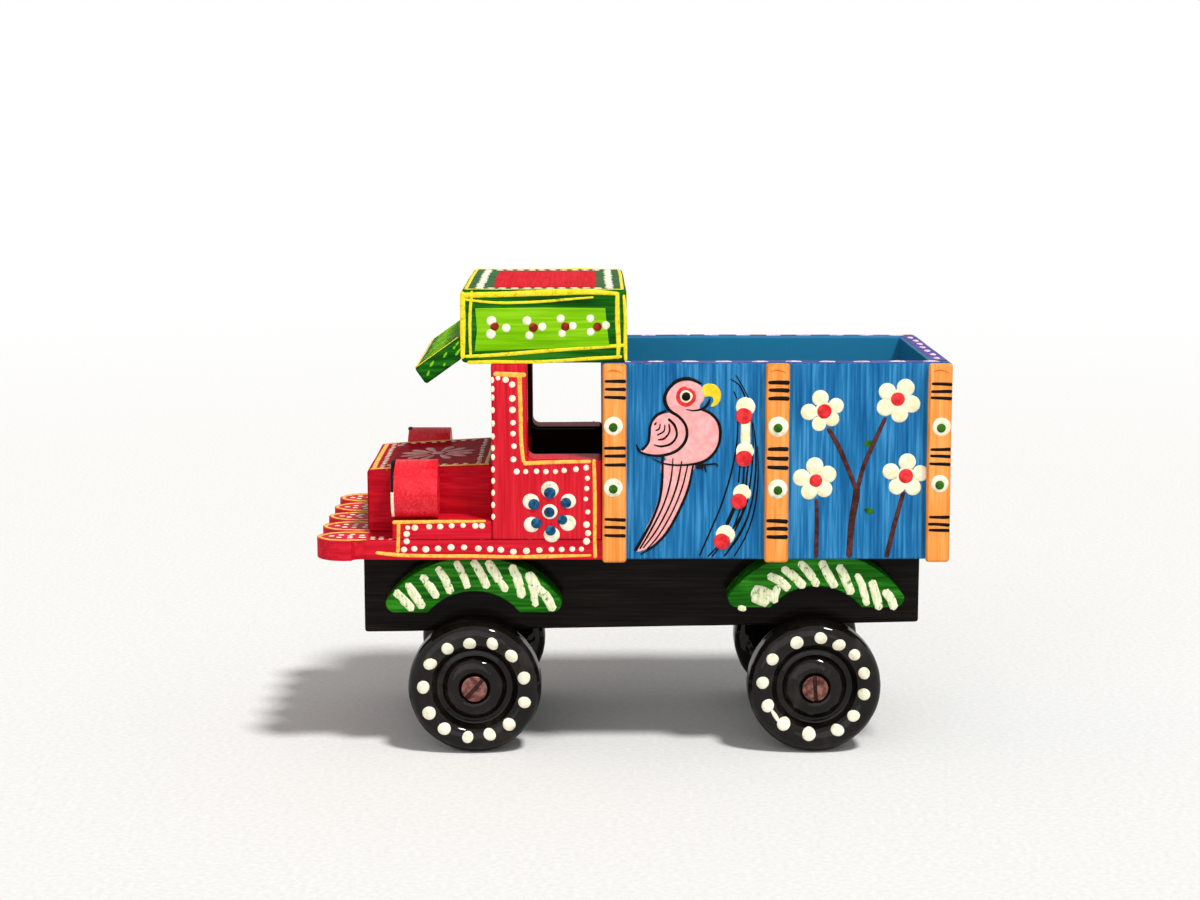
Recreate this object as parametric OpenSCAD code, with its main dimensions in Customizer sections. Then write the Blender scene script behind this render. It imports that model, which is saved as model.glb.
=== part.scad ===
// Painted wooden toy truck with an open bed and four free-rolling wheels.
// Millimetres. The nose points along -Y, the truck's left side is +X and the ground is z = 0.

/* [Overall] */
// Width over the side faces of the cab and the bed
body_w = 71; // [60:1:90]
// Length of the base board, from its scalloped nose to the bed
board_len = 72.8; // [66:0.2:95]
// Length of the bed, outside
bed_len = 87.6; // [70:0.2:120]
// Height of the bed sides, which also carry the roof
bed_h = 50; // [40:0.2:65]

/* [Chassis] */
// Width of the chassis beam
chassis_w = 47; // [38:1:52]
// Depth of the chassis beam at the nose
chassis_depth_front = 21.5; // [17:0.5:25]
// Depth of the chassis beam at the tail
chassis_depth_rear = 19; // [16:0.5:25]
// Distance from the tip of the nose back to the chassis
chassis_front_inset = 11.2; // [6:0.2:16]
// Distance from the tailboard forward to the end of the chassis
chassis_rear_inset = 5.6; // [2:0.2:12]
// Length of an axle block along the truck
axle_block_len = 14; // [10:0.5:18]
// Wood left under the middle of the wheel screw in an axle block
axle_block_drop = 6.5; // [5:0.5:9]

/* [Wheels] */
// Diameter of a wheel
wheel_d = 34.2; // [28:0.2:42]
// Width of a wheel
wheel_w = 10.8; // [9.6:0.2:12]
// Gap between an axle block and the back of its wheel
wheel_gap = 0.6; // [0.3:0.1:1.5]
// Distance from the tip of the nose back to the front axle
front_axle_inset = 40; // [36:0.5:48]
// Distance from the tailboard forward to the rear axle
rear_axle_inset = 33.2; // [28:0.2:40]
// Radius of the round rim bead on the wheel's face
rim_bead_r = 3.6; // [2.8:0.1:3.8]
// Radius of the round shoulder of the hub
hub_round_r = 3.5; // [2.5:0.1:4]
// Outer radius of the hub
hub_r = 8.3; // [7.5:0.1:9]

/* [Wheel screws] */
// Diameter of the screw's shank
shank_d = 3.5; // [2.5:0.1:4]
// Diameter of the screw's head
head_d = 6.6; // [5:0.1:7]
// Thickness of the screw's head
head_t = 1.3; // [1:0.1:1.8]
// Length of the shank inside the axle block
screw_grip = 12; // [8:0.5:18]
// Radial running clearance of a wheel on its shank
run_clear = 0.08; // [0.02:0.01:0.1]
// Radial clearance of the shank in its pilot hole
pilot_clear = 0.05; // [0.02:0.01:0.1]

/* [Mudguards] */
// Height of the arch's crown above the top of the wheel
arch_gap = 8.2; // [6:0.2:11]
// Thickness of a mudguard at its crown
guard_crown = 8.6; // [6:0.2:11]
// Radius of the inside of the arch
arch_r = 14.9; // [13:0.1:18]
// Drop from the crown of the arch to the flat ends of the mudguard
arch_rise = 5.6; // [4:0.1:8]
// Radius of the outside of the mudguard
guard_r = 27.2; // [24:0.1:32]
// Length of a mudguard between its tips
guard_len = 45; // [42:0.5:48]
// Radius of the mudguard's lower tips
guard_tip_r = 2.5; // [1.5:0.1:2.8]
// How far the mudguard's face stays inside the body's side
guard_setback = 2; // [1:0.2:4]
// Height of the rear mudguards above the front ones
rear_guard_lift = 1.3; // [0:0.1:2]

/* [Base board] */
// Thickness of the base board
board_t = 5; // [3.5:0.5:8]
// How far the outer lobes of the nose stand out past the body's side
nose_over = 2; // [0:0.1:6]
// Number of lobes across the nose
lobe_count = 5; // [4:1:7]
// How far each lobe runs into the next one
lobe_overlap = 0.5; // [0.2:0.1:2]
// Radius of the notch behind each outer lobe
notch_r = 2.3; // [1.5:0.1:3]

/* [Cab] */
// How much narrower the hood is at the nose than between the cab sides
hood_taper = 4; // [0:0.5:10]
// Distance from the tip of the nose back to the hood
hood_inset = 12.5; // [10:0.5:17]
// Height of the hood at the nose
hood_front_h = 16.2; // [10:0.2:19]
// Height of the hood at the windscreen
hood_rear_h = 18.2; // [12:0.2:20]
// Thickness of a cab side
cab_side_t = 10.5; // [7:0.1:13]
// Length of a cab side, from its pillar to the bed
cab_side_len = 28; // [24:0.5:40]
// Width of the windscreen pillar along the truck
pillar_len = 9; // [6:0.5:12]
// Height of the door part of a cab side
door_h = 20.6; // [15:0.2:28]
// Radius inside the corner between pillar and door
window_corner_r = 2; // [1:0.5:4]
// Height of the wings beside the hood
wing_h = 5; // [3:0.2:8]
// Distance from the front of the hood back to the wings
wing_inset = 7; // [4:0.1:10]
// Diameter of a headlamp
lamp_d = 15; // [11:0.1:16]
// Length of a headlamp
lamp_len = 11.6; // [8:0.1:14]
// Depth of the flat that seats a headlamp on its wing
lamp_flat = 0.3; // [0.1:0.1:0.8]
// Distance from the body's side in to the middle of a headlamp
lamp_inset = 5.6; // [4:0.1:9]

/* [Roof] */
// How far the roof's side stays inside the body's side
roof_setback = 0.5; // [0:0.1:3]
// Thickness of the roof block
roof_h = 18.4; // [12:0.1:26]
// How far the roof reaches forward of the windscreen pillars
roof_front_over = 7.3; // [4:0.1:12]
// How far the roof reaches back over the bed
roof_rear_over = 5.9; // [5:0.1:12]
// Thickness of the sun visor
visor_t = 4.9; // [3:0.1:7]
// Length of the sun visor along its top
visor_len = 14.6; // [10:0.1:20]
// Slope of the sun visor below level, in degrees
visor_angle = 35.5; // [20:0.5:50]
// Height of the visor's top edge above the underside of the roof
visor_seat = 7; // [6:0.1:12]

/* [Bed] */
// Thickness of the bed's walls
wall_t = 5; // [3:0.5:8]
// Thickness of the bed's floor
floor_t = 4; // [2.5:0.5:8]
// Width of a post along the truck
post_w = 6; // [4:0.5:9]
// How far a post stands out from the bed's side
post_t = 2; // [1:0.25:3]
// How far a post hangs below the bed's side
post_drop = 0.5; // [0:0.1:1.5]

/* [Hidden] */
$fn = 96;
slop = 1;                                  // overshoot of a cutting tool

// stations along the truck
nose_y = -(board_len + bed_len) / 2;
bed_y = nose_y + board_len;
tail_y = bed_y + bed_len;
front_axle_y = nose_y + front_axle_inset;
rear_axle_y = tail_y - rear_axle_inset;
chassis_front_y = nose_y + chassis_front_inset;
chassis_rear_y = tail_y - chassis_rear_inset;
hood_y = nose_y + hood_inset;
wing_y = hood_y + wing_inset;
pillar_y = bed_y - cab_side_len;
pillar_back_y = pillar_y + pillar_len;
roof_y = pillar_y - roof_front_over;
roof_len = bed_y + roof_rear_over - roof_y;
middle_post_y = bed_y + (bed_len - post_w) / 2;

// heights
axle_z = wheel_d / 2;
arch_z = wheel_d + arch_gap;
deck_z = arch_z + guard_crown;
board_z = deck_z + board_t;
wing_z = board_z + wing_h;
roof_z = deck_z + bed_h;

// half widths
body_x = body_w / 2;
chassis_x = chassis_w / 2;
cab_x = body_x - cab_side_t;
roof_w = body_w - 2 * roof_setback;
wheel_x = chassis_x + wheel_gap;
guard_x = body_x - guard_setback;

// scalloped nose of the base board
nose_w = body_w + 2 * nose_over;
lobe_r = (nose_w / lobe_count + lobe_overlap) / 2;

// wheel face: heights above the wheel's back
hub_face = wheel_w - 0.6;
groove_floor = wheel_w - 3.2;
recess_floor = wheel_w - 1.6;
head_seat = recess_floor + 0.2;
recess_r = head_d / 2 + 0.3;
tread_round = 2.5;

// side name, sign of x
SIDES = [["left", 1], ["right", -1]];
// axle name, y of the axle, lift of the mudguards
AXLES = [["front", front_axle_y, 0], ["rear", rear_axle_y, rear_guard_lift]];
// post name, y of its front edge
POSTS = [["front", bed_y], ["middle", middle_post_y], ["rear", tail_y - post_w]];

// half width of the hood at a station, which tapers as far as the pillars
function hood_x(y) =
    let (t = min(1, (y - hood_y) / (pillar_y - hood_y)))
    cab_x - (1 - t) * hood_taper / 2;

// lays a drawing of (y, z) across the truck, from x0 for a width w
module across(x0, w) {
    translate([x0, 0, 0]) rotate([90, 0, 90]) linear_extrude(w) children();
}

// puts a drawing made for the left side on either side
module on_side(sign) {
    if (sign > 0) children();
    else mirror([1, 0, 0]) children();
}

module chassis() {
    color([0.07, 0.06, 0.06])
    across(-chassis_x, chassis_w)
        polygon([
            [chassis_front_y, deck_z],
            [chassis_front_y, deck_z - chassis_depth_front],
            [chassis_rear_y, deck_z - chassis_depth_rear],
            [chassis_rear_y, deck_z]]);
}

// Hardwood block across the chassis, with a pilot hole in each end for a wheel screw.
module axle_block(y) {
    color([0.07, 0.06, 0.06])
    difference() {
        translate([-chassis_x, y - axle_block_len / 2, axle_z - axle_block_drop])
            cube([chassis_w, axle_block_len, deck_z - axle_z]);
        chassis();
        for (s = SIDES)
            translate([s[1] * chassis_x, y, axle_z])
                rotate([0, -s[1] * 90, 0])
                    translate([0, 0, -slop])
                        cylinder(r = shank_d / 2 + pilot_clear, h = screw_grip + slop + pilot_clear);
    }
}

// One half-turn section of the wheel: radius along x, height above the wheel's back along y.
module wheel_section() {
    r = wheel_d / 2;
    bore_r = shank_d / 2 + run_clear;
    bead_at = [r - rim_bead_r, wheel_w - rim_bead_r];
    difference() {
        union() {
            translate([bore_r, 0]) square([r - tread_round - bore_r, groove_floor]);
            translate([r - tread_round, tread_round]) circle(tread_round);
            translate([bead_at[0], tread_round]) square([rim_bead_r, bead_at[1] - tread_round]);
            translate(bead_at) circle(rim_bead_r);
            translate([bore_r, 0]) square([hub_r - hub_round_r - bore_r, hub_face]);
            translate([bore_r, 0]) square([hub_r - bore_r, hub_face - hub_round_r]);
            translate([hub_r - hub_round_r, hub_face - hub_round_r]) circle(hub_round_r);
        }
        translate([0, recess_floor]) square([recess_r, wheel_w]);
        translate([-slop, -slop]) square([bore_r + slop, wheel_w + 2 * slop]);
    }
}

// Turned wheel on the left side, its back at wheel_x.
module wheel(y) {
    color([0.06, 0.06, 0.06])
    translate([wheel_x, y, axle_z])
        rotate([0, 90, 0])
            rotate_extrude() wheel_section();
}

// Slotted screw that is the wheel's axle.
module wheel_screw(y) {
    slot_w = head_d * 0.13;
    color([0.52, 0.32, 0.28])
    translate([wheel_x, y, axle_z])
        rotate([0, 90, 0])
            difference() {
                union() {
                    translate([0, 0, -wheel_gap - screw_grip])
                        cylinder(d = shank_d, h = screw_grip + wheel_gap + head_seat);
                    translate([0, 0, head_seat]) cylinder(d = head_d, h = head_t);
                }
                translate([-head_d, -slot_w / 2, head_seat + head_t / 2])
                    cube([2 * head_d, slot_w, head_t]);
            }
}

// Arched block glued to the chassis over a wheel, with round tips.
module mudguard(y, lift) {
    foot_z = arch_z + lift - arch_rise;
    color([0.15, 0.5, 0.12])
    across(chassis_x, guard_x - chassis_x)
        intersection() {
            difference() {
                translate([y, deck_z + lift + 0.5 - guard_r]) circle(guard_r);
                translate([y, arch_z + lift - arch_r]) circle(arch_r);
            }
            union() {
                for (tip = [-1, 1])
                    translate([y + tip * (guard_len / 2 - guard_tip_r), foot_z + guard_tip_r])
                        circle(guard_tip_r);
                translate([y - guard_len / 2 + guard_tip_r, foot_z])
                    square([guard_len - 2 * guard_tip_r, deck_z - foot_z]);
                translate([y - guard_len / 2, foot_z + guard_tip_r])
                    square([guard_len, deck_z - foot_z - guard_tip_r]);
            }
        }
}

// Board under the cab, with a scalloped nose and a notch behind each outer lobe.
module base_board() {
    pitch = (nose_w - 2 * lobe_r) / (lobe_count - 1);
    lobe_y = nose_y + lobe_r;
    color([0.78, 0.1, 0.18])
    translate([0, 0, deck_z])
        linear_extrude(board_t)
            difference() {
                union() {
                    for (i = [0 : lobe_count - 1])
                        translate([-nose_w / 2 + lobe_r + i * pitch, lobe_y]) circle(lobe_r);
                    translate([-body_x, lobe_y]) square([body_w, bed_y - lobe_y]);
                }
                for (s = SIDES)
                    translate([s[1] * nose_w / 2, lobe_y + lobe_r / 2]) circle(notch_r);
            }
}

// Hood block: tapered in plan, sloped on top, and running back between the cab sides.
module hood() {
    color([0.85, 0.1, 0.22])
    intersection() {
        across(-body_x, body_w)
            polygon([
                [hood_y, board_z],
                [hood_y, board_z + hood_front_h],
                [pillar_back_y, board_z + hood_rear_h],
                [pillar_back_y, board_z]]);
        translate([0, 0, board_z - slop]) linear_extrude(hood_rear_h + hood_front_h) hood_plan();
    }
}

// The hood seen from above, tapered as far as the pillars.
module hood_plan() {
    polygon([
        [-hood_x(hood_y), hood_y],
        [-cab_x, pillar_y],
        [-cab_x, pillar_back_y],
        [cab_x, pillar_back_y],
        [cab_x, pillar_y],
        [hood_x(hood_y), hood_y]]);
}

// Flat wing beside the hood, which the headlamp stands on.
module wing() {
    color([0.78, 0.1, 0.18])
    translate([0, 0, board_z])
        linear_extrude(wing_h)
            polygon([
                [hood_x(wing_y), wing_y],
                [body_x, wing_y],
                [body_x, pillar_y],
                [cab_x, pillar_y]]);
}

// Short length of dowel lying along the truck, cut flat where it is glued to the wing and the hood.
module headlamp() {
    lamp_r = lamp_d / 2;
    color([0.9, 0.15, 0.2])
    difference() {
        translate([body_x - lamp_inset, wing_y, wing_z + lamp_r - lamp_flat])
            rotate([-90, 0, 0]) cylinder(r = lamp_r, h = lamp_len);
        translate([0, wing_y - slop, wing_z - lamp_d])
            cube([body_w, lamp_len + 2 * slop, lamp_d]);
        translate([0, 0, board_z]) linear_extrude(roof_z) hood_plan();
    }
}

// Cab side sawn as an L: the windscreen pillar and the door in one piece.
module cab_side() {
    door_z = board_z + door_h;
    color([0.8, 0.1, 0.16])
    across(cab_x, body_x - cab_x)
        difference() {
            translate([pillar_y, board_z]) square([cab_side_len, roof_z - board_z]);
            translate([pillar_back_y + window_corner_r, door_z])
                square([cab_side_len, roof_z]);
            translate([pillar_back_y, door_z + window_corner_r])
                square([cab_side_len, roof_z]);
            translate([pillar_back_y + window_corner_r, door_z + window_corner_r])
                circle(window_corner_r);
        }
}

module roof() {
    color([0.05, 0.4, 0.08])
    translate([-roof_w / 2, roof_y, roof_z])
        cube([roof_w, roof_len, roof_h]);
}

// Sloping board under the front of the roof, its back end cut upright against the roof.
module sun_visor() {
    dir = [-cos(visor_angle), -sin(visor_angle)];
    normal = [sin(visor_angle), -cos(visor_angle)];
    top = [roof_y, roof_z + visor_seat];
    tip = top + visor_len * dir;
    color([0.05, 0.3, 0.08])
    across(-roof_w / 2, roof_w)
        polygon([
            top,
            tip,
            tip + visor_t * normal,
            [roof_y, top[1] - visor_t / cos(visor_angle)]]);
}

module bed_floor() {
    color([0.1, 0.45, 0.6])
    translate([-body_x + wall_t, bed_y + wall_t, deck_z])
        cube([body_w - 2 * wall_t, bed_len - 2 * wall_t, floor_t]);
}

module bed_side() {
    color([0.12, 0.47, 0.75])
    translate([body_x - wall_t, bed_y, deck_z])
        cube([wall_t, bed_len, bed_h]);
}

// Board across the bed between its sides, used at the cab and at the tail.
module bed_end(y) {
    color([0.12, 0.47, 0.75])
    translate([-body_x + wall_t, y, deck_z])
        cube([body_w - 2 * wall_t, wall_t, bed_h]);
}

module bed_post(y) {
    color([0.95, 0.6, 0.25])
    translate([body_x, y, deck_z - post_drop])
        cube([post_t, post_w, bed_h + post_drop]);
}

chassis();
base_board();
hood();
roof();
sun_visor();
bed_floor();
bed_end(bed_y);  // bed_front
bed_end(tail_y - wall_t);  // tailboard

for (s = SIDES) {
    on_side(s[1]) wing();
    on_side(s[1]) headlamp();
    on_side(s[1]) cab_side();
    on_side(s[1]) bed_side();
    for (p = POSTS)
        on_side(s[1]) bed_post(p[1]);
}

for (a = AXLES) {
    axle_block(a[1]);
    for (s = SIDES) {
        corner = str(a[0], "_", s[0]);
        on_side(s[1]) mudguard(a[1], a[2]);
        on_side(s[1]) wheel(a[1]);
        on_side(s[1]) wheel_screw(a[1]);
    }
}
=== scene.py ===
import math
import random

import bmesh
import bpy
from mathutils import Matrix, Vector, noise


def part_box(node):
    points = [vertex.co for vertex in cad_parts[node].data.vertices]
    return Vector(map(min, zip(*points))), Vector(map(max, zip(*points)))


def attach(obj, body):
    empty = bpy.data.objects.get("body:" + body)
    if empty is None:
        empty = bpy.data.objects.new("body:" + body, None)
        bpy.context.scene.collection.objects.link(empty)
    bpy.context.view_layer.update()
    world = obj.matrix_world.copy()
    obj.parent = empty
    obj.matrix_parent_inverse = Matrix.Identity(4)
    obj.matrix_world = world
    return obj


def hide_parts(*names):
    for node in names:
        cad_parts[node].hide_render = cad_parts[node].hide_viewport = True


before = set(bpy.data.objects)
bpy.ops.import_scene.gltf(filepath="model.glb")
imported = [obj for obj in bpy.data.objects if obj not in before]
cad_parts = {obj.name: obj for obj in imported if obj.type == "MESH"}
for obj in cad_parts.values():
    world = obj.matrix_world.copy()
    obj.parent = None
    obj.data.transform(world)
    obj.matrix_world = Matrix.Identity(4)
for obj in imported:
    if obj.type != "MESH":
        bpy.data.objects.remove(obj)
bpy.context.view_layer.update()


# ---- Chassis ---------------------------------------------------------------------------------
# One softwood beam under the whole truck, with a block nailed across it for each axle.
# Sawn and sanded by hand, so no face is quite flat, and brushed with satin black enamel.

MM = 0.001


class Level:
    """A number in a node tree; arithmetic on it adds Math nodes to that tree."""

    def __init__(self, wiring, socket):
        self.wiring, self.socket = wiring, socket

    def math(self, operation, *values):
        return self.wiring.node("ShaderNodeMath", {"operation": operation}, values)

    def __add__(self, other):
        return self.math("ADD", self, other)

    def __sub__(self, other):
        return self.math("SUBTRACT", self, other)

    def __rsub__(self, other):
        return self.math("SUBTRACT", other, self)

    def __mul__(self, other):
        return self.math("MULTIPLY", self, other)

    __radd__, __rmul__ = __add__, __mul__

    def step(self, low, high):
        """0 up to low, 1 from high, and smooth between them."""
        return self.wiring.node("ShaderNodeMapRange", {"interpolation_type": "SMOOTHSTEP"},
                                {"Value": self, "From Min": low, "From Max": high})


class Wiring:
    """A node tree, and the one way to add a node to it."""

    def __init__(self, tree):
        self.tree = tree

    def feed(self, socket, value):
        if isinstance(value, Level):
            self.tree.links.new(value.socket, socket)
        else:
            socket.default_value = value

    def node(self, kind, settings=None, sockets=(), output=0):
        made = self.tree.nodes.new(kind)
        for setting, value in (settings or {}).items():
            if setting == "stops":
                first, *middle, last = value
                for stop, (place, colour) in zip(made.color_ramp.elements, (first, last)):
                    stop.position, stop.color = place, colour
                for place, colour in middle:
                    made.color_ramp.elements.new(place).color = colour
            else:
                setattr(made, setting, value)
        for socket, value in (sockets.items() if isinstance(sockets, dict) else enumerate(sockets)):
            self.feed(made.inputs[socket], value)
        return Level(self, made.outputs[output])


class Finish(Wiring):
    """A paint or a metal: a material, the noise that varies it, and its shader."""

    def __init__(self, name, **constants):
        self.material = bpy.data.materials.new(name)
        self.material.use_nodes = True
        super().__init__(self.material.node_tree)
        self.shader = self.tree.nodes["Principled BSDF"]
        self.shader.inputs["Specular IOR Level"].default_value = 0.0     # all gloss is in the coat
        for socket, value in constants.items():
            self.shader.inputs[socket.replace("_", " ")].default_value = value
        self.place = self.node("ShaderNodeTexCoord", output="Object")

    def grain(self, scale, detail=3.0, stretch=(1.0, 1.0, 1.0)):
        """Noise with scale lumps to the metre, drawn out where stretch is small."""
        laid = self.node("ShaderNodeMapping", {}, {"Vector": self.place, "Scale": stretch})
        return self.node("ShaderNodeTexNoise", {}, {"Vector": laid, "Scale": scale, "Detail": detail})

    def ramp(self, level, *stops):
        return self.node("ShaderNodeValToRGB", {"stops": stops}, {"Fac": level})

    def tint(self, level, under, over):
        return self.node("ShaderNodeMix", {"data_type": "RGBA"}, {0: level, 6: under, 7: over}, output=2)

    def along(self, axis):
        """Object coordinate along an axis, in metres."""
        return self.node("ShaderNodeSeparateXYZ", {}, {"Vector": self.place}, output=axis)

    def show(self, colour, roughness, relief, depth):
        """Wires the shader and gives the finished material; depth is the relief's height in mm."""
        self.feed(self.shader.inputs["Base Color"], colour)
        self.feed(self.shader.inputs["Roughness"], roughness)
        bump = self.node("ShaderNodeBump", {}, {"Height": relief, "Distance": depth * MM})
        self.feed(self.shader.inputs["Normal"], bump)
        return self.material


def shade(red, green, blue):
    """The linear colour of a paint chip read from 0 to 255."""
    def linear(value):
        value /= 255
        return value / 12.92 if value < 0.04045 else ((value + 0.055) / 1.055) ** 2.4
    return (linear(red), linear(green), linear(blue), 1.0)


BARE_WOOD = shade(178, 132, 92)
SHARP_CORNER = 35                            # degrees: an edge this sharp gets sanded


def enamel(name, deep, plain, pale, bristles=2, gloss=0.34, wear=0.5, depth=0.05, inside=None, shine=0.12):
    """Brushed enamel: streaks of two more tones along an axis, bristle ridges, lumps, rubbed corners.

    inside names an axis, how far along it an inner colour reaches, and that colour: the bed's inner teal paint,
    and the near-black painted shade inside the cab; on X it counts outwards from the middle of the truck."""
    coat = Finish(name, Coat_Weight=shine, Coat_Roughness=0.12)
    hairs = coat.grain(1500, 3, [0.035 if axis == bristles else 1.0 for axis in range(3)])
    strokes_laid = coat.grain(330, 2, [0.16 if axis == bristles else 1.0 for axis in range(3)])
    cloud = coat.grain(60, 2)
    laid = hairs * 0.6 + strokes_laid * 0.28 + cloud * 0.12
    colour = coat.ramp(laid, (0.37, deep), (0.5, plain), (0.63, pale))
    corner = coat.node("ShaderNodeAttribute", {"attribute_name": "corner"}, output="Fac")
    chips = coat.grain(520, 4)
    grime = coat.grain(170, 3)
    colour = coat.tint((corner + grime * 0.9).step(1.1, 1.75) * 0.45, colour,
                       tuple(0.35 * part for part in deep[:3]) + (1.0,))
    bare_from = 1.68 - 0.08 * wear
    colour = coat.tint((corner + chips).step(bare_from, bare_from + 0.04) * wear, colour, BARE_WOOD)
    # an inner colour: the bed's teal paint, and the near-black painted shade inside the cab
    if inside:
        axis, far, inner_colour = inside
        reach = coat.along(axis) + (grime - 0.5) * (1.2 * MM)
        if axis == 0:
            reach = reach.math("ABSOLUTE", reach)
        colour = coat.tint(reach.step(far + 0.2 * MM, far - 0.2 * MM), colour, inner_colour)
    peel = coat.grain(900, 2)
    relief = hairs * 0.45 + strokes_laid * 0.5 + peel * 0.35 + cloud * 1.2
    return coat.show(colour, gloss + (strokes_laid - 0.5) * 0.28 + (chips - 0.5) * 0.14, relief, depth)


noise.seed_set(7)                            # the noise starts from the clock unless it is given a seed


def uneven(place):
    """Where a point of hand-sawn wood really lies; pieces that touch drift together."""
    return (place + noise.noise_vector(place * 38) * 0.13 * MM
            + noise.noise_vector(place * 150 + Vector((7, 3, 5))) * 0.035 * MM)


def gridded(solid, low, high, cell):
    """Cuts a solid by planes across X, Y and Z about cell mm apart."""
    for axis in range(3):
        count = max(1, round((high[axis] - low[axis]) / (cell * MM)))
        across = Vector((axis == 0, axis == 1, axis == 2))
        for cut in range(1, count):
            at = low[axis] + (high[axis] - low[axis]) * cut / count
            bmesh.ops.bisect_plane(solid, geom=solid.verts[:] + solid.edges[:] + solid.faces[:],
                                   plane_co=across * at, plane_no=across, dist=1e-7)
    bmesh.ops.triangulate(solid, faces=[face for face in solid.faces if len(face.verts) > 4])


def plain_mesh(holder):
    """What an object's modifiers make of its mesh, as a plain mesh; the object goes."""
    graph = bpy.context.evaluated_depsgraph_get()
    mesh = bpy.data.meshes.new_from_object(holder.evaluated_get(graph), depsgraph=graph)
    bpy.data.objects.remove(holder)
    return mesh


def even_faced(mesh):
    """The mesh with its shading led by its large faces, so that a flat face looks flat."""
    holder = bpy.data.objects.new(mesh.name, mesh)
    bpy.context.scene.collection.objects.link(holder)
    holder.modifiers.new("even faces", "WEIGHTED_NORMAL").keep_sharp = False
    return plain_mesh(holder)


def fitted(name, mesh, body, slot, *nodes):
    """A finished mesh as a piece on its body, in the place of its CAD nodes."""
    piece = bpy.data.objects.new(name, mesh)
    bpy.context.scene.collection.objects.link(piece)
    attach(piece, body)
    if nodes:
        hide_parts(*nodes)
    return piece


def sawn_mesh(node, rounding, cell):
    """The node's own solid with its corners sanded round and its faces slightly uneven."""
    solid = bmesh.new()
    solid.from_mesh(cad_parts[node].data)
    bmesh.ops.remove_doubles(solid, verts=solid.verts, dist=0.005 * MM)
    bmesh.ops.dissolve_limit(solid, angle_limit=math.radians(0.5), verts=solid.verts, edges=solid.edges)
    sharp = [edge for edge in solid.edges if edge.calc_face_angle(0.0) > math.radians(SHARP_CORNER)]
    sanded = solid.faces.layers.int.new("sanded")
    rounded = bmesh.ops.bevel(solid, geom=sharp, offset=rounding * MM, segments=3, profile=0.5,
                              affect="EDGES", clamp_overlap=True)
    for face in rounded["faces"]:
        face[sanded] = 1
    gridded(solid, *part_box(node), cell)
    corner = solid.verts.layers.float.new("corner")
    for vert in solid.verts:
        vert[corner] = sum(face[sanded] for face in vert.link_faces) / len(vert.link_faces)
        vert.co = uneven(vert.co)
    for face in solid.faces:
        face.smooth = True
    mesh = bpy.data.meshes.new(node)
    solid.to_mesh(mesh)
    solid.free()
    return mesh


def sawn(node, slot, paint, rounding=0.5, cell=2.5):
    """A sawn and painted piece of wood on the truck, in the place of its CAD node."""
    mesh = sawn_mesh(node, rounding, cell)
    mesh.materials.append(paint)
    return fitted(node + "_wood", even_faced(mesh), "truck", slot, node)


chassis_black = enamel("chassis_black", shade(13, 10, 8), shade(22, 18, 15), shade(33, 28, 24), bristles=1,
                       gloss=0.42, wear=0.3, depth=0.07)
sawn("chassis", "black_paint", chassis_black, rounding=0.7)
for axle in ("front", "rear"):
    sawn(axle + "_axle_block", "black_paint", chassis_black, rounding=0.7)


# ---- Wheels ----------------------------------------------------------------------------------
# Four wheels turned from hardwood, with a round rim bead, a groove and a domed hub.
# Dipped in thick black gloss that dried in lumps; each rim carries thirteen dots of cream enamel.

class Recipe(Wiring):
    """A Geometry Nodes tree with named inputs that ends in plain geometry in its paint."""

    def __init__(self, name, **inputs):
        super().__init__(bpy.data.node_groups.new(name, "GeometryNodeTree"))
        sides = self.tree.interface
        sides.new_socket("Geometry", in_out="INPUT", socket_type="NodeSocketGeometry")
        for title, kind in {**inputs, "Unevenness": "Float", "Seed": "Float", "Paint": "Material"}.items():
            sides.new_socket(title, in_out="INPUT", socket_type="NodeSocket" + kind)
        sides.new_socket("Geometry", in_out="OUTPUT", socket_type="NodeSocketGeometry")
        self.entry = self.tree.nodes.new("NodeGroupInput")

    def given(self, title):
        return Level(self, self.entry.outputs[title])

    def drift(self, scale, size):
        """A seeded offset that changes over about 1 / scale metres."""
        here = self.node("GeometryNodeInputPosition")
        cloud = self.node("ShaderNodeTexNoise", {"noise_dimensions": "4D"},
                          {"Vector": here, "W": self.given("Seed"), "Scale": scale, "Detail": 2.0}, "Color")
        centred = self.node("ShaderNodeVectorMath", {"operation": "SUBTRACT"}, [cloud, (0.5, 0.5, 0.5)])
        return self.node("ShaderNodeVectorMath", {"operation": "SCALE"}, {"Vector": centred, "Scale": size})

    def finish(self, geometry):
        real = self.node("GeometryNodeRealizeInstances", {}, [geometry])
        moved = self.node("GeometryNodeSetPosition", {},
                          {"Geometry": real, "Offset": self.drift(700, self.given("Unevenness"))})
        smooth = self.node("GeometryNodeSetShadeSmooth", {}, [moved])
        painted = self.node("GeometryNodeSetMaterial", {},
                            {"Geometry": smooth, "Material": self.given("Paint")})
        self.feed(self.tree.nodes.new("NodeGroupOutput").inputs[0], painted)
        return self

    def made(self, name, mesh, **settings):
        """The plain mesh that the tree makes from mesh, its doubles merged and its faces outwards."""
        piece = bpy.data.objects.new(name, mesh)
        bpy.context.scene.collection.objects.link(piece)
        maker = piece.modifiers.new(name, "NODES")
        maker.node_group = self.tree
        for socket in self.tree.interface.items_tree:
            if socket.in_out == "INPUT" and socket.name in settings:
                maker[socket.identifier] = settings[socket.name]
        result = plain_mesh(piece)
        solid = bmesh.new()
        solid.from_mesh(result)
        bmesh.ops.remove_doubles(solid, verts=solid.verts, dist=0.002 * MM)
        bmesh.ops.recalc_face_normals(solid, faces=solid.faces)
        solid.to_mesh(result)
        solid.free()
        return result


def arc(middle, radius, start, end, count):
    """Points of an arc in a section, from one angle to another in degrees."""
    turns = [math.radians(start + (end - start) * index / count) for index in range(count + 1)]
    return [(middle[0] + radius * math.cos(turn), middle[1] + radius * math.sin(turn)) for turn in turns]


WHEEL_W = 10.8                               # mm
BEAD_R, BEAD_MIDDLE = 3.6, 13.5              # mm: the rim bead's radius and its distance from the axle
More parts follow.
